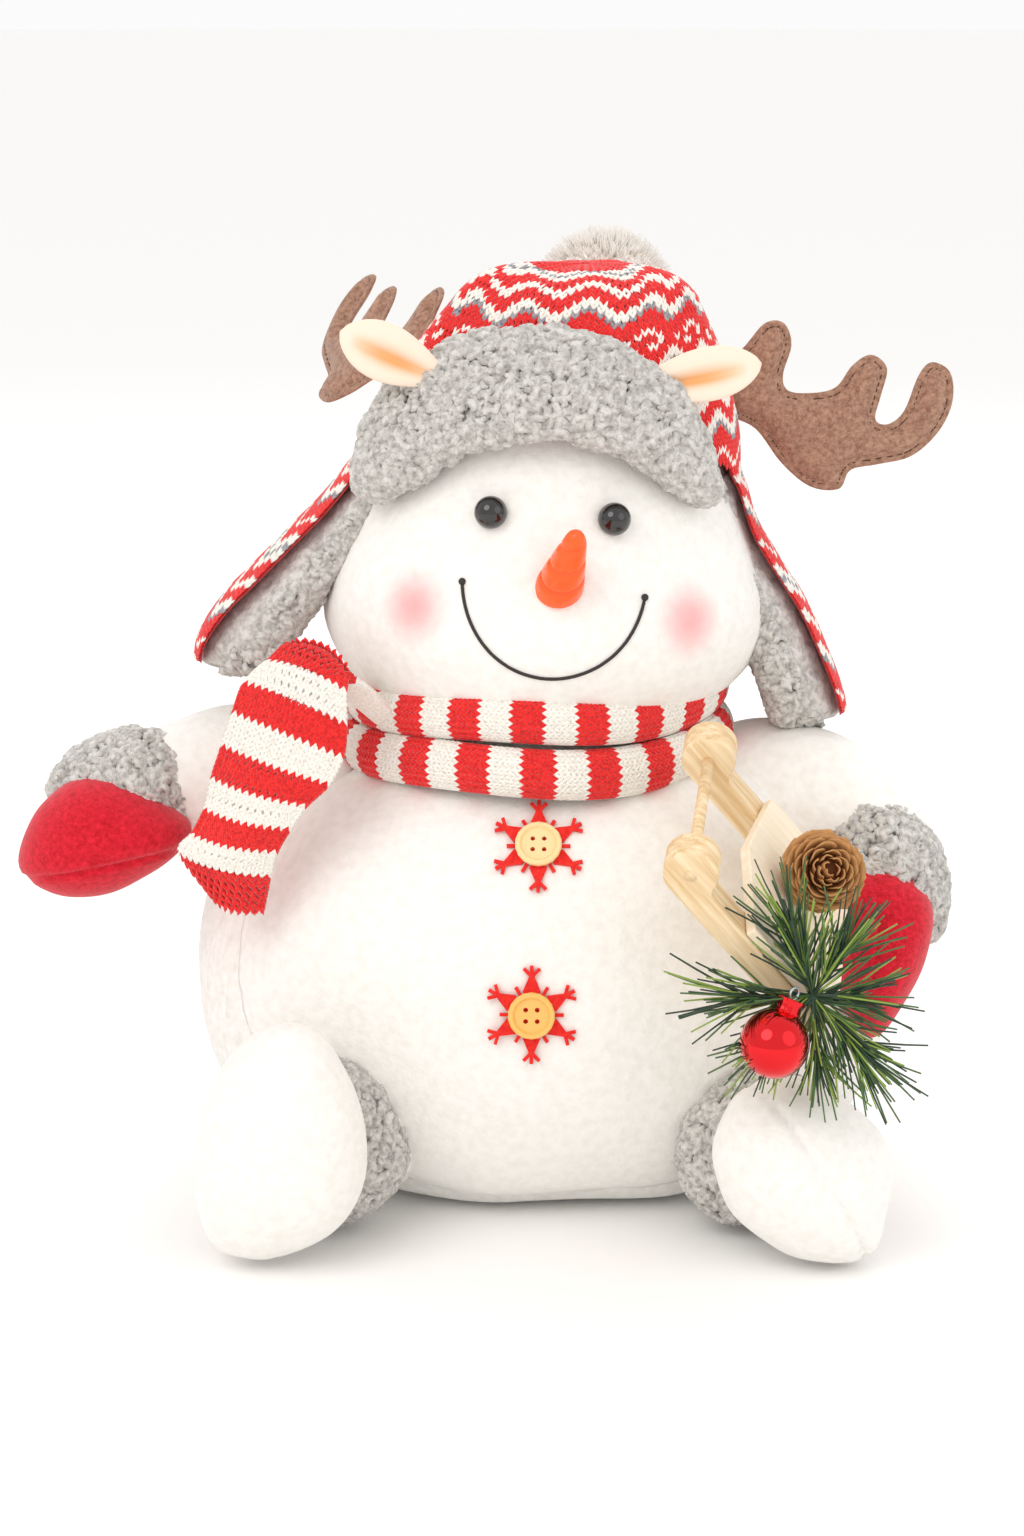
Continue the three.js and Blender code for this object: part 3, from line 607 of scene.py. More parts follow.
# How far along from -1 to 1, then x of the band, and z of its lower and upper edge.
BRIM = [(-1, -63, 261, 270), (-0.85, -59, 261, 288), (-0.62, -49, 268, 306), (-0.3, -27, 283, 319),
        (0, -1, 289, 323), (0.3, 24, 283, 317), (0.62, 42, 269, 304), (0.85, 51, 261, 288),
        (1, 55, 259, 270)]
BRIM_THICK = 10
CURL = {"wide": 3.5, "yarn": 1.25, "lift": 0.3}


def brim_edge(u):
    """The band's x, and the z of its two edges, at u from -1 at its left end to 1."""
    for low, high in zip(BRIM, BRIM[1:]):
        if high[0] >= u:
            break
    t = min(max((u - low[0]) / (high[0] - low[0]), 0), 1)
    return [a + (b - a) * t for a, b in zip(low[1:], high[1:])]


def brim_at(u, v):
    """A point of the brim: u from -1 at its left end to 1, v round its rolled section from 0 to 1."""
    x, low_z, high_z = (sum(brim_edge(u + s)[k] for s in (-0.06, 0, 0.06)) / 3 for k in range(3))
    ends = math.sqrt(max(1 - abs(u) ** 7, 0))
    turn = 2 * math.pi * v
    middle = (low_z + high_z) / 2
    z = middle - (high_z - low_z) / 2 * math.cos(turn) * (0.35 + 0.65 * ends)
    radius = next((low[1] + (high[1] - low[1]) * (low[2] - z) / max(low[2] - high[2], 1e-6)
                   for low, high in zip(HAT_LINE, HAT_LINE[1:]) if high[2] <= z), 80)
    proud = (BRIM_THICK * abs(math.sin(turn)) ** 0.7 * (0.4 + 0.6 * ends) if v < 0.5 else 0) + 1
    lean = CROWN_LEAN * max(z - LEAN_FROM, 0)
    angle = math.asin(min(max((x - lean) / radius, -1), 1))
    return Vector((lean + (radius + proud) * math.sin(angle),
                   -(radius * CROWN_DEPTH + proud) * math.cos(angle) - 6, z)) * MM


def curl_shape(wide, yarn):
    """A curl of matted fibre: a short bent worm, four sides round, so that it stays light."""
    line = []
    for k in range(6):
        angle = math.radians(-130 + 52 * k)
        round_it = Vector((math.cos(angle), math.sin(angle), 0)) * wide * 0.5
        line.append(round_it + Vector((0, 0, yarn * 0.25 * math.sin(k))))
    return rod(line, yarn, sides=4, taper=lambda t: 0.55 + 0.9 * math.sin(math.pi * t))


def curly(name, surface, count, seed, outward=1):
    """Sherpa pile: curls laid at random over a surface that takes (u, v) from 0 to 1."""
    chance = random.Random(seed)
    places = []
    while len(places) < count:
        u, v = chance.random(), chance.random()
        point, across, along, out = frame_at(surface, u, v, 0.004, 0.004)
        if out.length < 0.5 or across.length < 0.5:
            continue
        out = out * outward
        clump = 1.1 * noise.noise(point / 0.0075)
        turn = Matrix.Rotation(chance.uniform(0, 6.28), 4, "Z")
        tip = Matrix.Rotation(chance.uniform(-0.7, 0.7), 4, "X")
        grow = Matrix.Scale(chance.uniform(0.75, 1.25), 4)
        across = across.normalized()
        along = out.cross(across).normalized()
        spot = point + out * (CURL["lift"] + clump * 1.6) * MM
        places.append(basis(spot, across, along, out) @ turn @ tip @ grow)
    made = copies(curl_shape(CURL["wide"] * MM, CURL["yarn"] * MM), places, [0] * len(places))
    bmesh.ops.recalc_face_normals(made, faces=made.faces)
    return mesh_object(name, made, sherpa)


# Curly polyester pile, heather grey: matt, with pale fibre tips and deep shade between the curls.
def sherpa_material(name, dark, light):
    finish = {"roughness": 0.95, "specular_ior_level": 0.1, "sheen_weight": 0.3, "sheen_roughness": 0.6}
    return fibrous(name, dark, light, (0.32, 0.62), (0.5, 0.0008), finish,
                   scale=330, detail=4, roughness=0.65)


sherpa = sherpa_material("grey sherpa, curly polyester pile", "#a09b95", "#dad6d0")


def lofted(surface, across, along):
    """A closed skin over a surface that takes (u, v): u from end to end, v round and back."""
    made = bmesh.new()
    rings = [[made.verts.new(surface(i / across, k / along)) for k in range(along)]
             for i in range(across + 1)]
    skin(made, rings)
    made.faces.new(rings[0])
    made.faces.new(rings[-1][::-1])
    bmesh.ops.remove_doubles(made, verts=made.verts, dist=2e-5)
    bmesh.ops.recalc_face_normals(made, faces=made.faces)
    return made


def brim_skin(u, v):
    """The brim with both u and v from 0 to 1."""
    return brim_at(2 * u - 1, v)


shape = lofted(brim_skin, 120, 40)
lumpy(shape, 0.0075, 2.0 * MM, 3)
brim = mesh_object("brim_sherpa_ground", shape, sherpa)
on_body(brim, "torso", "grey_sherpa", "hat_brim")
curls = curly("brim_sherpa_curls", lambda u, v: brim_skin(0.005 + 0.99 * u, 0.56 * v - 0.03), 3400, seed=5)
on_body(curls, "torso", "grey_sherpa")


# ---------------------------------------------------------------- pompom
# A ball of cream yarn, cut and fluffed, tied behind the top of the crown.

POMPOM = {"at": Vector((23, 67, 323.5)) * MM, "radius": 26.5}
cream_yarn = sherpa_material("cream acrylic yarn, cut and fluffed", "#f4ece2", "#fffaf4")
shape = bmesh.new()
bmesh.ops.create_icosphere(shape, subdivisions=5, radius=(POMPOM["radius"] - 3.5) * MM)
bmesh.ops.translate(shape, vec=POMPOM["at"], verts=shape.verts)
lumpy(shape, 0.005, 2.2 * MM, 11)
pompom = mesh_object("pompom_yarn_ball", shape, cream_yarn)
on_body(pompom, "pompom_ball", "cream_yarn", "pompom")
chance = random.Random(21)
places = []
for k in range(5200):
    z = 1 - 2 * (k + 0.5) / 5200
    around = k * 2.39996
    out = Vector((math.sqrt(1 - z * z) * math.cos(around), math.sqrt(1 - z * z) * math.sin(around), z))
    out = (out + Vector([chance.uniform(-0.2, 0.2) for _ in range(3)])).normalized()
    across = out.orthogonal().normalized()
    length = chance.uniform(0.9, 1.4)
    spot = POMPOM["at"] + out * (POMPOM["radius"] - 5.5) * MM
    places.append(basis(spot, across, out.cross(across), out * length))
strand = bmesh.new()
bmesh.ops.create_cone(strand, segments=3, radius1=0.55 * MM, radius2=0.16 * MM, depth=5.4 * MM,
                      cap_ends=True)
bmesh.ops.translate(strand, vec=(0, 0, 2.7 * MM), verts=strand.verts)
tufts = mesh_object("pompom_yarn_ends", copies(strand, places, [0] * len(places)), cream_yarn)
on_body(tufts, "pompom_ball", "cream_yarn")


# ---------------------------------------------------------------- felt antlers
# Two layers of brown wool felt, cut to one outline, stitched 2 mm in from the raw edge and lightly
# stuffed, so that a flat rim stands round a puffed middle. Each hangs on a short sewn root.

ANTLER = [(0, -7), (12, -14), (22, -27), (33, -36), (44, -37), (48, -30), (58, -28), (71, -25), (81, -16),
          (86, -5), (85, 6), (78, 10), (73, 5), (68, -8), (62, -13), (57, -11), (59, -2), (61, 8), (55, 13),
          (48, 9), (42, 1), (33, -1), (24, 0), (22, 6), (25, 17), (22, 25), (15, 25), (8, 17), (0, 8)]
ANTLER_PLACES = {
    "left": {"root": (-50, 7, 307), "turn": -73, "tilt": 12, "roll": -39, "side": -1},
    "right": {"root": (66, 0, 295), "turn": 5, "tilt": 0, "roll": 0, "side": 1},
}


def closed_line(points, parts=5):
    """A smooth closed line through points of a cut outline."""
    count = len(points)
    found = []
    for i in range(count):
        a, b, c, d = (Vector(points[(i + k) % count]) for k in (-1, 0, 1, 2))
        for step in range(parts):
            t = step / parts
            found.append(0.5 * (2 * b + (c - a) * t + (2 * a - 5 * b + 4 * c - d) * t * t
                                + (3 * b - a - 3 * c + d) * t ** 3))
    return found


def remeshed(shape, voxel):
    """The same closed shape in even small quads."""
    holder = mesh_object("holder", shape)
    change = holder.modifiers.new("even", "REMESH")
    change.mode = "VOXEL"
    change.voxel_size = voxel
    even = bpy.data.meshes.new_from_object(holder.evaluated_get(bpy.context.evaluated_depsgraph_get()))
    made = bmesh.new()
    made.from_mesh(even)
    bpy.data.objects.remove(holder)
    bpy.data.meshes.remove(even)
    return made


def outline_distance(line, x, y):
    """How far a flat point is from a closed outline."""
    nearest = 1e9
    for a, b in zip(line, line[1:] + line[:1]):
        way = b - a
        t = min(max(((x - a.x) * way.x + (y - a.y) * way.y) / way.length_squared, 0), 1)
        nearest = min(nearest, math.hypot(x - a.x - way.x * t, y - a.y - way.y * t))
    return nearest


FELT_VOXEL = 0.7                 # fine enough to keep the flat rim's edge crisp


def puffed(outline, rim, high):
    """A stuffed felt shape in the XZ plane, in mm: a flat stitched rim round a puffed middle."""
    line = closed_line(outline)
    made = bmesh.new()
    face = made.faces.new([made.verts.new((p.x, -1, p.y)) for p in line])
    back = bmesh.ops.extrude_face_region(made, geom=[face])["geom"]
    bmesh.ops.translate(made, vec=(0, 2, 0), verts=[v for v in back if isinstance(v, bmesh.types.BMVert)])
    bmesh.ops.recalc_face_normals(made, faces=made.faces)
    made = remeshed(made, FELT_VOXEL)
    for v in made.verts:
        inside = outline_distance(line, v.co.x, v.co.z)
        if inside < rim:
            depth = 0.95
        else:
            depth = 0.4 + (high - 0.4) * (1 - math.exp(-(inside - rim) / 2.6))
        edge = min(inside / 0.9, 1)
        v.co.y = math.copysign(depth * (0.35 + 0.65 * edge), v.co.y)
    return made


# Wool-blend felt, pressed from short fibres: matt, finely mottled, with a faint fuzz.
def felt_material(name, dark, light):
    finish = {"roughness": 0.95, "specular_ior_level": 0.1, "sheen_weight": 0.25, "sheen_roughness": 0.5}
    return fibrous(name, dark, light, (0.34, 0.64), (0.4, 0.0006), finish,
                   scale=520, detail=5, roughness=0.75)


brown_felt = felt_material("brown wool felt", "#7f5a49", "#b68e77")
# Matt cotton sewing thread, a shade darker than the felt it holds.
sewing, tree, shader = new_material("brown cotton sewing thread")
finish_shader(shader, base_color=linear("#4b2f24"), roughness=0.8)


def sewn_line(outline, inset, height, radius):
    """Sewing thread along a cut outline, a little inside it, on both faces of the felt."""
    line = closed_line(outline)
    count = len(line)
    runs = []
    for side in (-1, 1):
        run = []
        for i in range(count + 1):
            along = (line[(i + 1) % count] - line[(i - 1) % count]).normalized()
            spot = line[i % count] + Vector((-along.y, along.x)) * inset
            run.append(Vector((spot.x, side * height, spot.y)))
        runs.append(rod(run, radius, sides=6, caps=False))
    return gather(runs)


for side, at in ANTLER_PLACES.items():
    shape = puffed(ANTLER, 2.2, 4.2)
    turn = Matrix.Rotation(math.radians(at["turn"]), 4, "Z")
    turn = turn @ Matrix.Rotation(math.radians(at["tilt"]), 4, "Y")
    turn = turn @ Matrix.Rotation(math.radians(at["roll"]), 4, "X")
    place = Matrix.Translation(Vector(at["root"]) * MM) @ turn @ Matrix.Scale(MM, 4)
    place = place @ Matrix.Diagonal((at["side"], 1, 1, 1))
    bmesh.ops.transform(shape, matrix=place, verts=shape.verts)
    if at["side"] < 0:
        bmesh.ops.reverse_faces(shape, faces=shape.faces)
    antler = mesh_object(f"antler_felt_{side}", shape, brown_felt)
    on_body(antler, f"antler_{side}", "brown_felt", f"antler_{side[0]}")
    shape = sewn_line(ANTLER, 2.2, 0.62, 0.3)
    bmesh.ops.transform(shape, matrix=place, verts=shape.verts)
    bmesh.ops.recalc_face_normals(shape, faces=shape.faces)
    on_body(mesh_object(f"antler_stitching_{side}", shape, sewing), f"antler_{side}", "brown_felt")


# ---------------------------------------------------------------- felt ears
# Thick cream felt leaves, pinched at the root so that they cup open to the front. Each is sewn in where
# the brim turns up, with the crease airbrushed orange-tan.

EARS = {
    "left": {"root": (-39, -50, 306), "tip": (-73.5, -50, 322), "face": (0.1, -1, 0.05), "wide": 13.5,
             "up": -1},
    "right": {"root": (34, -56, 303), "tip": (76, -52, 311), "face": (-0.05, -1, 0.2), "wide": 12.5,
              "up": 1},
}

ear_felt, tree, shader = new_material("cream wool felt, airbrushed crease")
crease = add(tree, "Attribute", attribute_name="crease")
mixed = add(tree, "Mix", [(crease.outputs["Fac"], "Factor")], data_type="RGBA")
mixed.inputs["A"].default_value = linear("#f6e0cc")
mixed.inputs["B"].default_value = linear("#f0a552")
tree.links.new(mixed.outputs["Result"], shader.inputs["Base Color"])
place = add(tree, "TexCoord").outputs["Object"]
fibres = add(tree, "TexNoise", [(place, "Vector")], scale=480, detail=4)
bump = add(tree, "Bump", [(fibres.outputs[0], "Height")], strength=0.25, distance=0.0005)
tree.links.new(bump.outputs[0], shader.inputs["Normal"])
finish_shader(shader, roughness=0.95, specular_ior_level=0.1, sheen_weight=0.25)

for side, ear in EARS.items():
    root, tip = Vector(ear["root"]) * MM, Vector(ear["tip"]) * MM
    along = (tip - root).normalized()
    face = Vector(ear["face"])
    face = (face - along * face.dot(along)).normalized()
    across = along.cross(face).normalized()
    length = (tip - root).length
    shape = bmesh.new()
    layer = shape.verts.layers.float.new("crease")
    rings = []
    for i in range(33):
        t = i / 32
        half = ear["wide"] * MM * (0.5 + 0.5 * t) * math.sin(math.pi * min(t * 0.86 + 0.14, 1)) ** 0.62
        half = max(half * 1.04, 0.3 * MM)
        cup = (0.95 - 0.45 * t)
        ring = []
        for k in range(28):
            turn = 2 * math.pi * k / 28
            outer = math.sin(turn)
            inner = max(-math.sin(turn), 0)
            wide = half * math.cos(turn)
            lip = 0.33 * half * (1 + cup)
            deep = -lip * outer if outer > 0 else lip * 0.42 * inner ** 0.5
            trench = math.exp(-((math.cos(turn) - 0.12 * ear["up"]) / (0.2 + 0.08 * cup)) ** 2)
            if outer < 0:
                deep -= trench * lip * 0.95 * math.sin(math.pi * min(t + 0.12, 1)) ** 0.6
            v = shape.verts.new(root + along * length * t + across * wide + face * deep)
            v[layer] = 0
            if outer < 0:
                v[layer] = trench * 0.95 * math.sin(math.pi * min(max(t * 1.15, 0), 1)) ** 0.7
            ring.append(v)
        rings.append(ring)
    skin(shape, rings)
    shape.faces.new(rings[0])
    shape.faces.new(rings[-1])
    bmesh.ops.remove_doubles(shape, verts=shape.verts, dist=2e-5)
    bmesh.ops.recalc_face_normals(shape, faces=shape.faces)
    leaf = mesh_object(f"ear_felt_{side}", shape, ear_felt)
    on_body(leaf, "torso", "cream_felt", f"ear_{side[0]}")


# ---------------------------------------------------------------- ear flaps
# Each flap is a tongue of the hat's knit, lined with the same grey curly pile, thick enough to hold it
# out from the head. The lining rolls over the edge of the knit all round.

FLAPS = {
    "left": {"path": [(-68, 274), (-73, 267), (-83, 255), (-94, 244), (-108, 230), (-119, 219), (-128, 206),
                      (-131, 195)], "lining": 27, "y": -3, "side": -1},
    "right": {"path": [(69, 270), (73, 262), (78, 247), (87, 232), (96, 218), (104, 201), (110, 186),
                       (113, 175)], "lining": 25, "y": -2, "side": 1},
}
FLAP_HALF = 27
FLAP_ROWS = 46


def flap_half(v):
    """Half the width of a flap: straight sides, then a round end."""
    return FLAP_HALF * (1 - max((v - 0.6) / 0.42, 0) ** 2.6) ** 0.5


def flap_surface(flap):
    """The knit face of a flap: u from back to front, v from its root to its tip, out in mm."""
    line = smooth_line([(x, 0, z) for x, z in flap["path"]], 6)
    last = len(line) - 1

    def surface(u, v, out=0):
        spot = min(max(v, 0), 1) * last
        low = min(int(spot), last - 1)
        point = line[low].lerp(line[low + 1], spot - low) + (line[-1] - line[-2]) * max(v - 1, 0) * last
        along = (line[min(low + 2, last)] - line[max(low - 1, 0)]).normalized()
        away = Vector((-along.z, 0, along.x)) * flap["side"]
        if away.x * flap["side"] < 0:
            away = -away
        half = flap_half(v) if v < 1.02 else 1
        across = 2 * u - 1
        point = point + away * (out - 3.2 * across * across)
        return Vector((point.x, flap["y"] - across * half, point.z)) * MM
    return surface


def flap_lining(flap):
    """The padded lining: u round its section, v along it."""
    face = flap_surface(flap)

    def surface(u, v):
        turn = 2 * math.pi * u
        swell = (0.42 + 0.58 * min(v / 0.65, 1)) * min((1.04 - v) / 0.14, 1) ** 0.5
        deep = flap["lining"] * swell
        across = 0.5 + 0.535 * math.copysign(abs(math.cos(turn)) ** 0.8, math.cos(turn))
        inward = deep * 0.5 * (1 - math.copysign(abs(math.sin(turn)) ** 0.7, math.sin(turn)))
        start = 0.03 + v * 0.99
        return face(across, min(start, 1.0), -inward - 1.4)
    return surface


for side, flap in FLAPS.items():
    body, tag = f"flap_{side}", side[0]
    surface = flap_surface(flap)
    spots = []
    for row in range(FLAP_ROWS):
        v = (row + 0.5) / FLAP_ROWS
        count = max(round(2 * flap_half(v) / WALE), 4)
        for column in range(count):
            kind = pattern(row + PLAIN_TOP + 3, column + (18 - count) // 2)
            spots.append(((column + 0.5) / count * 0.94 + 0.03, v * 0.97, kind))
    knit = knit_piece(f"flap_stitches_{side}", lambda u, v: surface(u, v, 1.0), spots, (0.02, 0.01),
                      COURSE * 1.55)
    on_body(knit, body, "hat_knit")
    shape = bmesh.new()
    grid = [[shape.verts.new(surface(i / 24, k / 40 * 0.985, 0.4)) for i in range(25)] for k in range(41)]
    for upper, lower in zip(grid, grid[1:]):
        for i in range(24):
            shape.faces.new((upper[i], upper[i + 1], lower[i + 1], lower[i]))
    bmesh.ops.solidify(shape, geom=shape.faces[:], thickness=1.6 * MM)
    bmesh.ops.recalc_face_normals(shape, faces=shape.faces)
    ground = mesh_object(f"flap_knit_ground_{side}", shape, yarns[0])
    on_body(ground, body, "hat_knit", f"flap_knit_{tag}")

    lining = flap_lining(flap)
    shape = lofted(lambda u, v: lining(v, u), 48, 36)
    lumpy(shape, 0.0055, 1.5 * MM, 9)
    padding = mesh_object(f"flap_sherpa_ground_{side}", shape, sherpa)
    on_body(padding, body, "grey_sherpa", f"flap_lining_{tag}")
    curls = curly(f"flap_sherpa_curls_{side}", lambda u, v: lining(0.47 + 0.56 * u, v), 2400,
                  seed=30 + len(side), outward=flap["side"])
    on_body(curls, body, "grey_sherpa")


# ---------------------------------------------------------------- knitted scarf
# One long flat tube of plain machine knit, striped red and white every six rows. It goes twice round the
# neck, folds over itself at the left and hangs down over the shoulder.

STRIPE = 6                       # rows to a stripe, about 12 mm
WRAPS = {
    "lower": {"z": 166.5, "radius": 68, "wide": 8.6, "swell": 6, "start": 2},
    "upper": {"z": 184.5, "radius": 66, "wide": 8.0, "swell": 6, "start": 4},
}
WRAP_CENTRE = (-4, -3)
WRAP_ROWS, WRAP_WALES = 228, 9   # rows of knit round the neck, and stitches across the visible face
TAIL_LEFT = [(-62, -40, 185), (-89, -62, 211), (-100, -69, 207), (-108, -73, 200), (-112, -76, 190),
             (-116, -77, 178), (-120, -76, 166), (-123, -74, 154), (-128, -71, 144), (-133, -68, 136),
             (-122, -68, 120)]
TAIL_RIGHT = [(-52, -46, 181), (-68, -70, 201), (-71, -79, 198), (-71, -85, 187), (-72, -87, 176),
              (-77, -87, 166), (-85, -86, 158), (-91, -84, 149), (-96, -81, 140), (-99, -78, 130),
              (-102, -75, 116)]


def wrap_surface(wrap):
    """The outer face of one wrap: u round the neck, v from its lower edge (0) to its upper (1)."""
    def surface(u, v, out=0):
        turn = math.pi * (v - 0.5)
        sag = 1.3 * math.sin(3 * u + wrap["z"]) + 2.2 * max(math.sin(u), 0) ** 3
        reach = wrap["radius"] + wrap["swell"] * math.cos(turn) + out + 0.8 * math.sin(5 * u + 2 * v)
        z = wrap["z"] + (wrap["wide"] + out) * math.sin(turn) + sag
        x = WRAP_CENTRE[0] + reach * math.sin(u)
        y = WRAP_CENTRE[1] - reach * 1.03 * math.cos(u)
        return Vector((x, y, z)) * MM
    return surface


for name, wrap in WRAPS.items():
    surface = wrap_surface(wrap)
    places, kinds = [], []
    for row in range(WRAP_ROWS):
        kind = ((row + wrap["start"]) // STRIPE) % 2
        for wale in range(WRAP_WALES):
            spot = (2 * math.pi * row / WRAP_ROWS, (wale + 0.5) / WRAP_WALES)
            point, across, along, out = frame_at(surface, *spot, 0.01, 0.02)
            places.append(basis(point, along, -across, out))
            kinds.append(kind)
    stitches = stitched(f"scarf_stitches_{name}", places, kinds, COURSE * 1.5, 0.6)
    on_body(stitches, "torso", "scarf_knit")

    shape = bmesh.new()
    grid = [[shape.verts.new(surface(2 * math.pi * i / WRAP_ROWS, k / 10, -0.5)) for i in range(WRAP_ROWS)]
            for k in range(11)]
    skin(shape, grid)
    for k, face in enumerate(shape.faces):
        face.material_index = ((k % WRAP_ROWS + wrap["start"]) // STRIPE) % 2
    bmesh.ops.recalc_face_normals(shape, faces=shape.faces)
    bmesh.ops.solidify(shape, geom=shape.faces[:], thickness=1.4 * MM)
    bmesh.ops.recalc_face_normals(shape, faces=shape.faces)
    ground = mesh_object(f"scarf_wrap_ground_{name}", shape, *yarns)
    on_body(ground, "torso", "scarf_knit", f"scarf_wrap_{name}")


TAIL_EDGES = [smooth_line(edge, 6) for edge in (TAIL_LEFT, TAIL_RIGHT)]
TAIL_LAST = len(TAIL_EDGES[0]) - 1
TAIL_ROWS = 60


def tail_at(u, v, out=0):
    """The front face of the hanging end: u from its left edge to its right, v from the neck down, 0 to 1."""
    spot = min(max(v, 0), 1) * TAIL_LAST
    low = min(int(spot), TAIL_LAST - 1)
    left, right = (edge[low].lerp(edge[low + 1], spot - low) for edge in TAIL_EDGES)
    across = right - left
    down = TAIL_EDGES[0][min(low + 3, TAIL_LAST)] - TAIL_EDGES[0][max(low - 3, 0)]
    normal = across.cross(-down).normalized()
    if normal.y > 0:
        normal = -normal
    crown_out = 5 * (1 - (2 * u - 1) ** 2) + out
    return (left.lerp(right, u) + normal * crown_out) * MM


places, kinds = [], []
for row in range(TAIL_ROWS):
    v = (row + 0.5) / TAIL_ROWS
    width = (tail_at(1, v) - tail_at(0, v)).length / MM
    count = max(round(width * 1.04 / WALE), 7)
    for wale in range(count):
        point, across, along, out = frame_at(tail_at, (wale + 0.5) / count, v, 0.02, 0.01)
        if out.y > 0:
            out = -out
        across = along.cross(out).normalized()
        places.append(basis(point, across, along, -out))
        kinds.append(YARN.index("WR"[(row // STRIPE) % 2]))
tail_stitches = stitched("scarf_tail_stitches", places, kinds, COURSE * 1.6, 0.6)
shape = bmesh.new()
grid = [[shape.verts.new(tail_at(i / 16, k / TAIL_ROWS, -0.5)) for i in range(17)]
        for k in range(TAIL_ROWS + 1)]
for k, (upper, lower) in enumerate(zip(grid, grid[1:])):
    for i in range(16):
        face = shape.faces.new((upper[i], upper[i + 1], lower[i + 1], lower[i]))
        face.material_index = 1 - (k // STRIPE) % 2
bmesh.ops.recalc_face_normals(shape, faces=shape.faces)
bmesh.ops.solidify(shape, geom=shape.faces[:], thickness=2.6 * MM)
bmesh.ops.recalc_face_normals(shape, faces=shape.faces)
tail = mesh_object("scarf_tail_ground", shape, *yarns)
for piece in (tail_stitches, tail):
    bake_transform(piece)
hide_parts("scarf_knot", "scarf_tail")


# ---------------------------------------------------------------- arms with sherpa cuffs and felt mittens
# Each arm is a fleece sleeve sewn into the side of the torso, with a rolled cuff of grey curly pile and a
# stuffed mitten of red wool felt in two halves, whose seam runs across the hand.

SLEEVES = {
    "left": {"path": [(-72, -3, 143), (-92, -5, 148), (-115, -11, 151), (-136, -19, 150), (-150, -25, 147)],
             "radius": [25, 29, 27, 24, 20], "start": (-84, -5, 148), "end": (-122, -14, 150)},
    "right": {"path": [(66, -4, 145), (84, -8, 145), (103, -17, 141), (118, -30, 134), (125, -42, 126)],
              "radius": [24, 28, 28, 25, 21], "start": (80, -8, 146), "end": (114, -26, 136)},
}
CUFFS = {
    "left": {"cut": [(-184, 149), (-178, 160), (-164, 168), (-149, 170), (-135, 164), (-129, 154),
                     (-130, 144), (-136, 134), (-150, 131), (-168, 136), (-180, 142)],
             "y": -27, "front": 21, "back": 23},
    "right": {"cut": [(106, 138), (112, 146), (124, 148), (137, 141), (144, 130), (147, 114), (146, 102),
                      (139, 98), (127, 104), (114, 116), (107, 127)], "y": -42, "front": 24, "back": 22},
}
MITTENS = {
    "left": {"cut": [(-195, 127), (-190, 141), (-184, 150), (-174, 157), (-161, 158), (-149, 154),
                     (-139, 148), (-131, 141), (-132, 134), (-142, 125), (-154, 118), (-167, 114),
                     (-179, 114), (-190, 119)],
             "y": -44, "front": 23, "back": 21, "seam": ((-163, -50, 127), (-0.2, 0.12, 1))},
    "right": {"cut": [(113, 128), (126, 128), (137, 121), (141, 110), (138, 92), (130, 76), (121, 65),
                      (113, 68), (108, 80), (105, 98), (107, 118)],
              "y": -61, "front": 23, "back": 21, "seam": ((113, -61, 95), (1, 0.22, -0.12))},
}


def stuffed_surface(piece):
    """A stuffed shape from its cut outline in front view: u round it, v from its back to its front."""
    line = closed_line(piece["cut"], 8)
    middle = sum(line, Vector((0, 0))) / len(line)
    polar = sorted((math.atan2(p.y - middle.y, p.x - middle.x) % (2 * math.pi), (p - middle).length)
                   for p in line)
    polar = [(polar[-1][0] - 2 * math.pi, polar[-1][1])] + polar + [(polar[0][0] + 2 * math.pi, polar[0][1])]

    def surface(u, v):
        angle = 2 * math.pi * (u % 1)
        for low, high in zip(polar, polar[1:]):
            if high[0] >= angle:
                break
        t = (angle - low[0]) / max(high[0] - low[0], 1e-6)
        reach = low[1] + (high[1] - low[1]) * t
        lift = min(max(2 * v - 1, -1), 1)
        reach *= max(1 - lift * lift, 0) ** 0.47
        deep = piece["front"] if lift > 0 else piece["back"]
        return Vector((middle.x + reach * math.cos(angle), piece["y"] - deep * lift,
                       middle.y + reach * math.sin(angle))) * MM
    return surface


def stuffed(piece, around=72, levels=40, lump=0.7):
    """The stuffed shape as a closed mesh, a little uneven from its filling."""
    surface = stuffed_surface(piece)
    made = bmesh.new()
    rings = []
    for k in range(1, levels):
        v = 0.5 - 0.5 * math.cos(math.pi * k / levels)
        rings.append([made.verts.new(surface(i / around, v)) for i in range(around)])
    poles = [made.verts.new(surface(0, v)) for v in (0, 1)]
    skin(made, rings)
    for pole, ring in zip(poles, (rings[0], rings[-1])):
        for i in range(around):
            made.faces.new((ring[i], ring[(i + 1) % around], pole))
    bmesh.ops.recalc_face_normals(made, faces=made.faces)
    lumpy(made, 0.018, lump * MM, 4)
    return made


def groove(shape, at, normal, deep, wide):
    """Draws a stitched seam into a shape, where a plane crosses it."""
    shape.normal_update()
    way = Vector(normal).normalized()
    for v in shape.verts:
        off = (v.co - Vector(at) * MM).dot(way)
        v.co -= v.normal * deep * MM * math.exp(-(off / (wide * MM)) ** 2)


def sleeve(path, radii):
    """A fleece tube along a few points, with a radius at each."""
    line = smooth_line(path, 8)
    sizes = smooth_line([(r, 0) for r in radii], 8)
    return rod([p * MM for p in line], MM, sides=40, taper=lambda t: sizes[round(t * (len(sizes) - 1))].x)


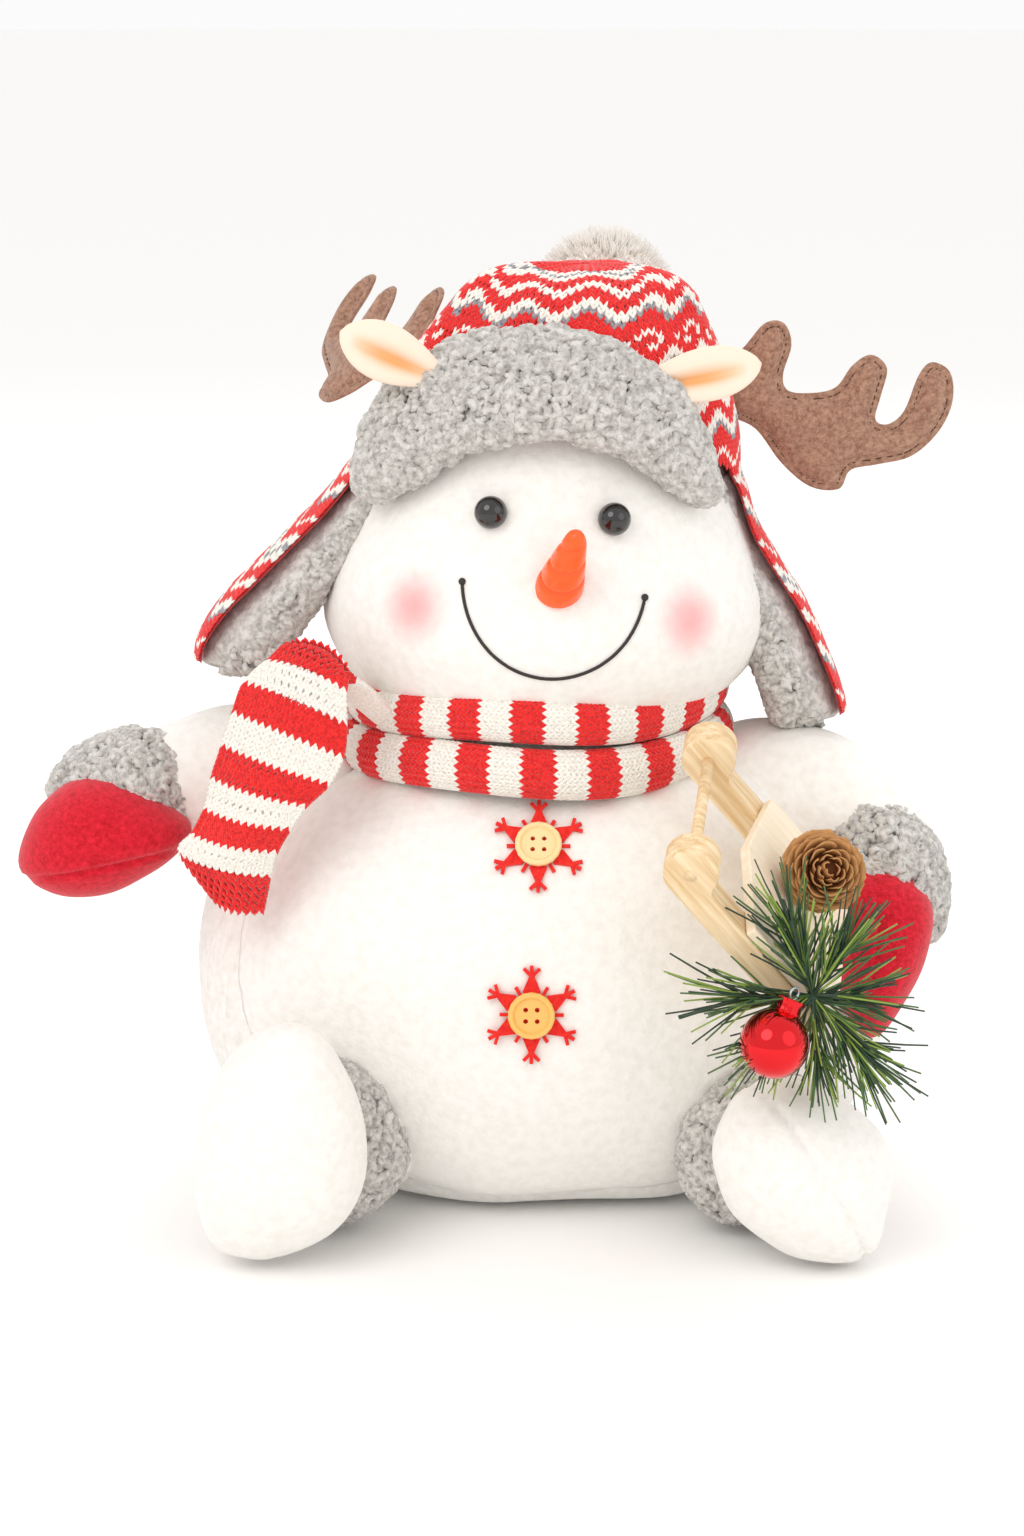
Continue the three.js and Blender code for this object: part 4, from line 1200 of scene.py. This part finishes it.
red_felt = felt_material("red wool felt", "#b3101f", "#e02438")
for side in ("left", "right"):
    arm, cuff, hand, body, tag = SLEEVES[side], CUFFS[side], MITTENS[side], f"arm_{side}", side[0]
    shape = sleeve(arm["path"], arm["radius"])
    lumpy(shape, 0.022, 1.6 * MM, 2)
    piece = mesh_object(f"arm_sleeve_{side}", shape, fleece)
    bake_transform(piece)
    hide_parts(f"arm_{tag}")

    shape = stuffed(cuff, lump=0)
    lumpy(shape, 0.0055, 1.5 * MM, 6)
    roll = mesh_object(f"cuff_sherpa_ground_{side}", shape, sherpa)
    on_body(roll, body, "grey_sherpa", f"cuff_{tag}")
    curls = curly(f"cuff_sherpa_curls_{side}", stuffed_surface(cuff), 1500, seed=50 + len(side))
    on_body(curls, body, "grey_sherpa")

    shape = stuffed(hand, around=96, levels=64)
    groove(shape, *hand["seam"], 1.5, 0.9)
    mitten = on_body(mesh_object(f"mitten_felt_{side}", shape, red_felt), body, "red_felt", f"mitten_{tag}")


# ---------------------------------------------------------------- legs and boots
# The legs are short fleece stumps sewn to the front of the base. Each ends in a roll of grey curly pile
# and an egg-shaped stuffed foot of white fleece, seamed down its sole.

FEET = {
    "left": {"cut": [(-89, 89), (-79, 84), (-73, 75), (-67, 62), (-64, 50), (-64, 37), (-67, 25),
                     (-73, 15), (-83, 8), (-98, 3.5), (-111, 4), (-119, 9), (-123, 21), (-125, 34),
                     (-123, 49), (-117, 66), (-110, 78), (-101, 86)],
             "y": -124, "front": 27, "back": 25, "seam": ((-93, -150, 40), (1, 0.3, 0.1)), "deep": 0.5},
    "right": {"cut": [(82, 69), (69, 64), (62, 57), (58, 45), (59, 33), (64, 22), (72, 13), (85, 5),
                      (97, 2), (110, 2.5), (117, 8), (120, 21), (122, 37), (119, 46), (113, 53), (104, 61),
                      (94, 67)],
              "y": -124, "front": 27, "back": 25, "seam": ((95, -150, 42), (0.85, 0.25, 0.52)), "deep": 1.5},
}
BOOT_CUFFS = {
    "left": {"cut": [(-64, 56), (-56, 44), (-52, 33), (-53, 24), (-59, 14), (-72, 6), (-90, 5.5), (-103, 14),
                     (-107, 34), (-98, 53), (-80, 62)], "y": -90, "front": 20, "back": 21},
    "right": {"cut": [(71, 60), (60, 52), (52, 43), (48.5, 33), (49, 25), (52, 16), (60, 8), (72, 5.5),
                      (90, 6), (102, 18), (103, 40), (90, 57)], "y": -90, "front": 20, "back": 21},
}
STUMPS = {
    "left": {"path": [(-52, -48, 30), (-62, -60, 31), (-72, -76, 32), (-80, -92, 33)],
             "radius": [20, 24, 25, 24], "start": (-56, -52, 27), "end": (-74, -82, 30)},
    "right": {"path": [(52, -48, 30), (62, -60, 31), (71, -76, 32), (78, -92, 33)],
              "radius": [20, 24, 25, 24], "start": (56, -52, 27), "end": (73, -82, 30)},
}
for side in ("left", "right"):
    foot, cuff, stump, body, tag = FEET[side], BOOT_CUFFS[side], STUMPS[side], f"leg_{side}", side[0]
    shape = sleeve(stump["path"], stump["radius"])
    piece = mesh_object(f"leg_stump_{side}", shape, fleece)
    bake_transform(piece)
    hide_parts(f"leg_{tag}")

    shape = stuffed(cuff, lump=0)
    lumpy(shape, 0.0055, 1.4 * MM, 8)
    for v in shape.verts:
        v.co.z = max(v.co.z, 1.5 * MM)
    roll = mesh_object(f"boot_cuff_sherpa_ground_{side}", shape, sherpa)
    on_body(roll, body, "grey_sherpa", f"boot_cuff_{tag}")
    curls = curly(f"boot_cuff_sherpa_curls_{side}", stuffed_surface(cuff), 1500,
                  seed=70 + len(side))
    on_body(curls, body, "grey_sherpa")

    shape = stuffed(foot, around=104, levels=64, lump=1.0)
    groove(shape, *foot["seam"], foot["deep"], 1.1)
    for v in shape.verts:
        v.co.z = max(v.co.z, 0.5 * MM)
    boot = on_body(mesh_object(f"boot_fleece_{side}", shape, fleece), body, "white_fleece", f"boot_{tag}")


# ---------------------------------------------------------------- wooden sled
# A small craft sled in pale birch: two runners cut from 12 mm board, each with a round head drilled for
# the dowel that joins them, and a seat board pointed at the front. Glued, and sewn to the mitten.

SLED_AT = Vector((56.6, -92, 175)) * MM
ALONG = Vector((0.62, 0.225, -0.751)).normalized()
SLED_UP = ALONG.cross(Vector((0.13, 0.912, 0.395))).normalized()
SLED_FRAME = basis(SLED_AT, ALONG, SLED_UP.cross(ALONG), SLED_UP)
RUNNER = {"length": 78, "thick": 12, "head": 9.5, "spread": 66, "dowel": 2.1, "ease": 0.6}
SEAT = {"from": 31, "point": 9, "thick": 4}


def board(outline, thick, ease):
    """A flat board in the sled's XZ plane from a cut outline in mm, its edges eased by sanding."""
    made = bmesh.new()
    face = made.faces.new([made.verts.new((x * MM, 0, z * MM)) for x, z in outline])
    other = bmesh.ops.extrude_face_region(made, geom=[face])["geom"]
    bmesh.ops.translate(made, vec=(0, thick * MM, 0),
                        verts=[v for v in other if isinstance(v, bmesh.types.BMVert)])
    bmesh.ops.recalc_face_normals(made, faces=made.faces)
    sharp = [e for e in made.edges if len(e.link_faces) == 2 and e.calc_face_angle() > math.radians(30)]
    bmesh.ops.bevel(made, geom=sharp, offset=ease * MM, segments=3, affect="EDGES", profile=0.5, material=-1)
    return made


# Bare birch, planed and sanded: pale straw with fine darker grain lines along the stick, and a soft shine.
def wood_material(name, light, dark, contrast):
    made, tree, shader = new_material(name)
    place = add(tree, "TexCoord").outputs["Object"]
    turn = SLED_FRAME.to_3x3().inverted().to_euler()
    turned_in = add(tree, "Mapping", [(place, "Vector")])
    turned_in.inputs["Rotation"].default_value = turn
    stretched = add(tree, "VectorMath", [(turned_in.outputs[0], 0)], operation="MULTIPLY")
    stretched.inputs[1].default_value = (0.07, 1, 1)
    rings = add(tree, "TexNoise", [(stretched.outputs[0], "Vector")], scale=420, detail=4, roughness=0.6)
    shade = add(tree, "ValToRGB", [(rings.outputs[0], "Fac")])
    shade.color_ramp.elements[0].position = 0.5 - contrast
    shade.color_ramp.elements[0].color = linear(dark)
    shade.color_ramp.elements[1].position = 0.5 + contrast
    shade.color_ramp.elements[1].color = linear(light)
    tree.links.new(shade.outputs[0], shader.inputs["Base Color"])
    bump = add(tree, "Bump", [(rings.outputs[0], "Height")], strength=0.12, distance=0.0004)
    tree.links.new(bump.outputs[0], shader.inputs["Normal"])
    finish_shader(shader, roughness=0.55, specular_ior_level=0.35)
    return made


birch = wood_material("bare birch, sanded", "#f3dcb6", "#dcb885", 0.14)
seat_birch = wood_material("bare birch ply, sanded", "#fbefd9", "#f2dfc0", 0.2)
head = RUNNER["head"]
outline = [(0, -head), (RUNNER["length"] - 4, -head), (RUNNER["length"], 4 - head), (RUNNER["length"], 0),
           (14, 0), (11.5, 0.5), (9.8, 1.8)]
outline += [(head * math.cos(math.radians(a)), head * math.sin(math.radians(a))) for a in range(16, 268, 9)]
for side, shift in (("back", 0), ("front", -RUNNER["spread"])):
    shape = board(outline, RUNNER["thick"], RUNNER["ease"])
    bmesh.ops.translate(shape, vec=(0, shift * MM, 0), verts=shape.verts)
    bmesh.ops.transform(shape, matrix=SLED_FRAME, verts=shape.verts)
    runner = mesh_object(f"sled_runner_{side}_birch", shape, birch)
    on_body(runner, "arm_right", "pale_wood", f"sled_runner_{side}")
shape = bmesh.new()
bmesh.ops.create_cone(shape, segments=32, radius1=RUNNER["dowel"] * MM, radius2=RUNNER["dowel"] * MM,
                      depth=(RUNNER["spread"] + RUNNER["thick"] + 0.6) * MM, cap_ends=True)
bmesh.ops.rotate(shape, matrix=Matrix.Rotation(math.radians(90), 3, "X"), verts=shape.verts)
bmesh.ops.translate(shape, vec=(0, (6 - RUNNER["spread"] / 2) * MM, 0), verts=shape.verts)
bmesh.ops.transform(shape, matrix=SLED_FRAME, verts=shape.verts)
on_body(mesh_object("sled_dowel", shape, birch), "arm_right", "pale_wood", "sled_crossbar")

near, far = RUNNER["thick"] - 1, -RUNNER["spread"] + 1
shape = board([(SEAT["from"], near), (SEAT["from"] - SEAT["point"], (near + far) / 2), (SEAT["from"], far),
               (RUNNER["length"] + 1, far), (RUNNER["length"] + 1, near)], SEAT["thick"], 0.5)
bmesh.ops.rotate(shape, matrix=Matrix.Rotation(math.radians(90), 3, "X"), verts=shape.verts)
bmesh.ops.scale(shape, vec=(1, -1, 1), verts=shape.verts)
bmesh.ops.reverse_faces(shape, faces=shape.faces)
bmesh.ops.translate(shape, vec=(0, 0, 0.3 * MM), verts=shape.verts)
bmesh.ops.transform(shape, matrix=SLED_FRAME, verts=shape.verts)
seat = mesh_object("sled_seat_birch", shape, seat_birch, smooth=False)
on_body(seat, "arm_right", "pale_wood", "sled_seat")


# ---------------------------------------------------------------- pine cone
# A small larch cone, glued on by its base: about eighty woody scales spiralling round a dark core, each
# a thin curved spoon with a paler worn lip.

CONE = {"at": Vector((96, -111, 140)) * MM, "axis": Vector((0.18, -0.93, 0.32)).normalized(), "radius": 14.5}
scale_wood, tree, shader = new_material("larch cone scale, dry")
lip = add(tree, "Attribute", attribute_name="lip")
mixed = add(tree, "Mix", [(lip.outputs["Fac"], "Factor")], data_type="RGBA")
mixed.inputs["A"].default_value = linear("#6a3a1c")
mixed.inputs["B"].default_value = linear("#dda468")
tree.links.new(mixed.outputs["Result"], shader.inputs["Base Color"])
finish_shader(shader, roughness=0.7, specular_ior_level=0.25)

shape = ball(CONE["radius"] * 0.62 * MM, CONE["at"], 20)
layer = shape.verts.layers.float.new("lip")
side = CONE["axis"].orthogonal().normalized()
other = CONE["axis"].cross(side)
chance = random.Random(8)
for k in range(96):
    t = (k + 0.5) / 96
    tilt = math.radians(8 + 128 * t ** 0.8)
    around = k * 2.39996
    spoke = side * math.cos(around) + other * math.sin(around)
    out = CONE["axis"] * math.cos(tilt) + spoke * math.sin(tilt)
    up = (CONE["axis"] - out * out.dot(CONE["axis"])).normalized()
    across = out.cross(up)
    reach = CONE["radius"] * (0.9 + 0.1 * math.sin(math.pi * t)) * chance.uniform(0.93, 1.05)
    wide = (2.2 + 4.6 * min(t * 2.2, 1)) * chance.uniform(0.9, 1.1)
    rows = []
    for i in range(6):
        way = 0.3 + 0.7 * i / 5
        half = wide * math.sin(math.pi * (0.12 + 0.74 * i / 5)) ** 0.7
        row = []
        for j in range(5):
            w = (j - 2) / 2
            curl = 1.7 * (i / 5) ** 2
            place = CONE["at"] + (out * reach * way + across * half * w
                                  + up * (curl + 1.1 * w * w - 1.6)) * MM
            v = shape.verts.new(place)
            v[layer] = min(max((i - 2.2) / 2.2, 0), 1) * (0.75 + 0.25 * abs(w))
            row.append(v)
        rows.append(row)
    under = [[shape.verts.new(v.co - up * 0.55 * MM) for v in row] for row in rows]
    for row, low in zip(rows, under):
        for v, w in zip(row, low):
            w[layer] = v[layer] * 0.6
    for sheet_rows, flip in ((rows, False), (under, True)):
        for a, b in zip(sheet_rows, sheet_rows[1:]):
            for j in range(4):
                corner = (a[j], a[j + 1], b[j + 1], b[j])
                shape.faces.new(corner[::-1] if flip else corner)
    rim = [*[r[0] for r in rows], *rows[-1][1:], *[r[-1] for r in rows[-2::-1]], *rows[0][-2:0:-1]]
    low = [*[r[0] for r in under], *under[-1][1:], *[r[-1] for r in under[-2::-1]], *under[0][-2:0:-1]]
    for j in range(len(rim)):
        shape.faces.new((rim[j], rim[(j + 1) % len(rim)], low[(j + 1) % len(rim)], low[j]))
bmesh.ops.recalc_face_normals(shape, faces=shape.faces)
on_body(mesh_object("larch_cone", shape, scale_wood), "arm_right", "cone_scale", "pinecone")


# ---------------------------------------------------------------- pine sprig
# An artificial sprig: PVC needles twisted into wire stems and bent to spread over the sled's front edge.

HUB = Vector((90, -147, 106)) * MM
STEMS = [((-26, -5, 1), 60, 30), ((-8, 3, 25), 84, 28), ((12, 2, 18), 60, 27), ((18, -4, -21), 90, 28),
         ((-17, -5, -18), 52, 25), ((2, -2, -24), 56, 25), ((16, 0, 0), 44, 27)]
greens = []
for name, code in (("dark", "#2c4130"), ("mid", "#4c6a39"), ("light", "#8aa246")):
    made, tree, shader = new_material(f"{name} green PVC needle")
    finish_shader(shader, base_color=linear(code), roughness=0.45, specular_ior_level=0.4)
    greens.append(made)
chance = random.Random(14)
needles = bmesh.new()
for reach, count, longest in STEMS:
    reach = Vector(reach) * MM
    stem_way = reach.normalized()
    for k in range(count):
        start = HUB + reach * chance.uniform(0, 0.9)
        spin = chance.uniform(0, 2 * math.pi)
        side = stem_way.orthogonal().normalized()
        other = stem_way.cross(side)
        away = side * math.cos(spin) + other * math.sin(spin)
        away.y *= 0.5
        spread = math.radians(chance.uniform(8, 48))
        way = (stem_way * math.cos(spread) + away * math.sin(spread)).normalized()
        length = longest * chance.uniform(0.6, 1.05) * MM
        bend = Vector((chance.uniform(-1, 1), chance.uniform(-0.5, 0.5), chance.uniform(-1, 1))) * 2.5 * MM
        line = [start + way * length * s + bend * s * s for s in (0, 0.35, 0.7, 1)]
        needle = rod(line, 0.46 * MM, sides=4, taper=lambda t: 1 - 0.35 * t)
        kind = chance.choice((0, 0, 1, 1, 2))
        before = len(needles.faces)
        data = bpy.data.meshes.new("needle")
        needle.to_mesh(data)
        needle.free()
        needles.from_mesh(data)
        bpy.data.meshes.remove(data)
        needles.faces.ensure_lookup_table()
        for face in needles.faces[before:]:
            face.material_index = kind
spray = mesh_object("pine_sprig_needles", needles, *greens)
on_body(spray, "arm_right", "pine_green", "sprig_needles")
stems = gather([rod([HUB + Vector(r) * MM * s for s in (0, 0.5, 1)], 0.9 * MM, sides=8) for r, _, _ in STEMS]
               + [rod([HUB, HUB + Vector((-4, 14, 8)) * MM], 1.3 * MM, sides=8)])
on_body(mesh_object("pine_sprig_wires", stems, greens[0]), "arm_right", "pine_green", "sprig_stem")


# ---------------------------------------------------------------- bauble
# A 24 mm glass-look ball, vacuum-metallised and lacquered red, with a crimped cap and a wire loop that
# ties it to the sprig.

BAUBLE = {"at": Vector((76.5, -157, 92)) * MM, "radius": 12, "hook": Vector((84, -152, 110)) * MM}
AXIS = (BAUBLE["hook"] - BAUBLE["at"]).normalized()
SIDE = AXIS.orthogonal().normalized()
BAUBLE_FRAME = basis(BAUBLE["at"], SIDE, AXIS.cross(SIDE), AXIS)

# Metallised plastic under clear red lacquer: a red mirror with white lamp reflections.
mirror, tree, shader = new_material("red metallised polystyrene, lacquered")
finish_shader(shader, base_color=linear("#e3101a"), metallic=1.0, roughness=0.07, coat_weight=0.5)
on_body(mesh_object("bauble_ball", ball(BAUBLE["radius"] * MM, BAUBLE["at"], 64), mirror), "bauble_ball",
        "red_mirror", "bauble")
# The cap's radius and height above the ball's centre, from its skirt up.
CAP_RINGS = [(3.6, 10.8), (4.4, 11.2), (4.0, 12.4), (4.0, 14.6), (4.9, 15.4), (4.7, 16.1), (0.01, 16.3)]
cap = bmesh.new()
rings = []
for radius, height in CAP_RINGS:
    ring = []
    for k in range(48):
        turn = 2 * math.pi * k / 48
        crimped = radius * (1 + 0.05 * math.cos(12 * turn))
        ring.append(cap.verts.new(Vector((crimped * math.cos(turn), crimped * math.sin(turn), height)) * MM))
    rings.append(ring)
skin(cap, rings)
cap.faces.new(rings[0][::-1])
bmesh.ops.remove_doubles(cap, verts=cap.verts, dist=3e-5)
bmesh.ops.recalc_face_normals(cap, faces=cap.faces)
bmesh.ops.transform(cap, matrix=BAUBLE_FRAME, verts=cap.verts)
on_body(mesh_object("bauble_cap_crimped", cap, mirror), "bauble_ball", "red_cap", "bauble_cap")
# Galvanised wire, 1 mm, dull silver.
wire, tree, shader = new_material("galvanised steel wire")
finish_shader(shader, base_color=linear("#b9c6cb"), metallic=1.0, roughness=0.35)
loop = [Vector((2.1 * math.sin(a), 0, 18.2 - 2.1 * math.cos(a))) * MM
        for a in [2 * math.pi * k / 24 for k in range(25)]]
loop = rod([BAUBLE_FRAME @ p for p in loop], 0.45 * MM, sides=8)
on_body(mesh_object("bauble_wire_loop", loop, wire), "bauble_ball", "hook_wire", "bauble_hook")


# ---------------------------------------------------------------- snowflakes and buttons
# Laser-cut red felt snowflakes, each held by a four-hole polyester button sewn through the front.

red_flake = felt_material("red felt, laser cut", "#d81f20", "#f2392f")
button_finishes = {}
for name, code in (("upper", "#f9d79c"), ("lower", "#f7bd63")):
    made, tree, shader = new_material(f"{name} button, cast polyester")
    finish_shader(shader, base_color=linear(code), roughness=0.25, subsurface_weight=0.15, coat_weight=0.3)
    shader.inputs["Subsurface Radius"].default_value = (0.002, 0.0012, 0.0006)
    button_finishes[name] = made
for name, finish in button_finishes.items():
    for node, look in ((f"snowflake_{name}", red_flake), (f"button_{name}", finish)):
        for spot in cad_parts[node].material_slots:
            spot.material = look
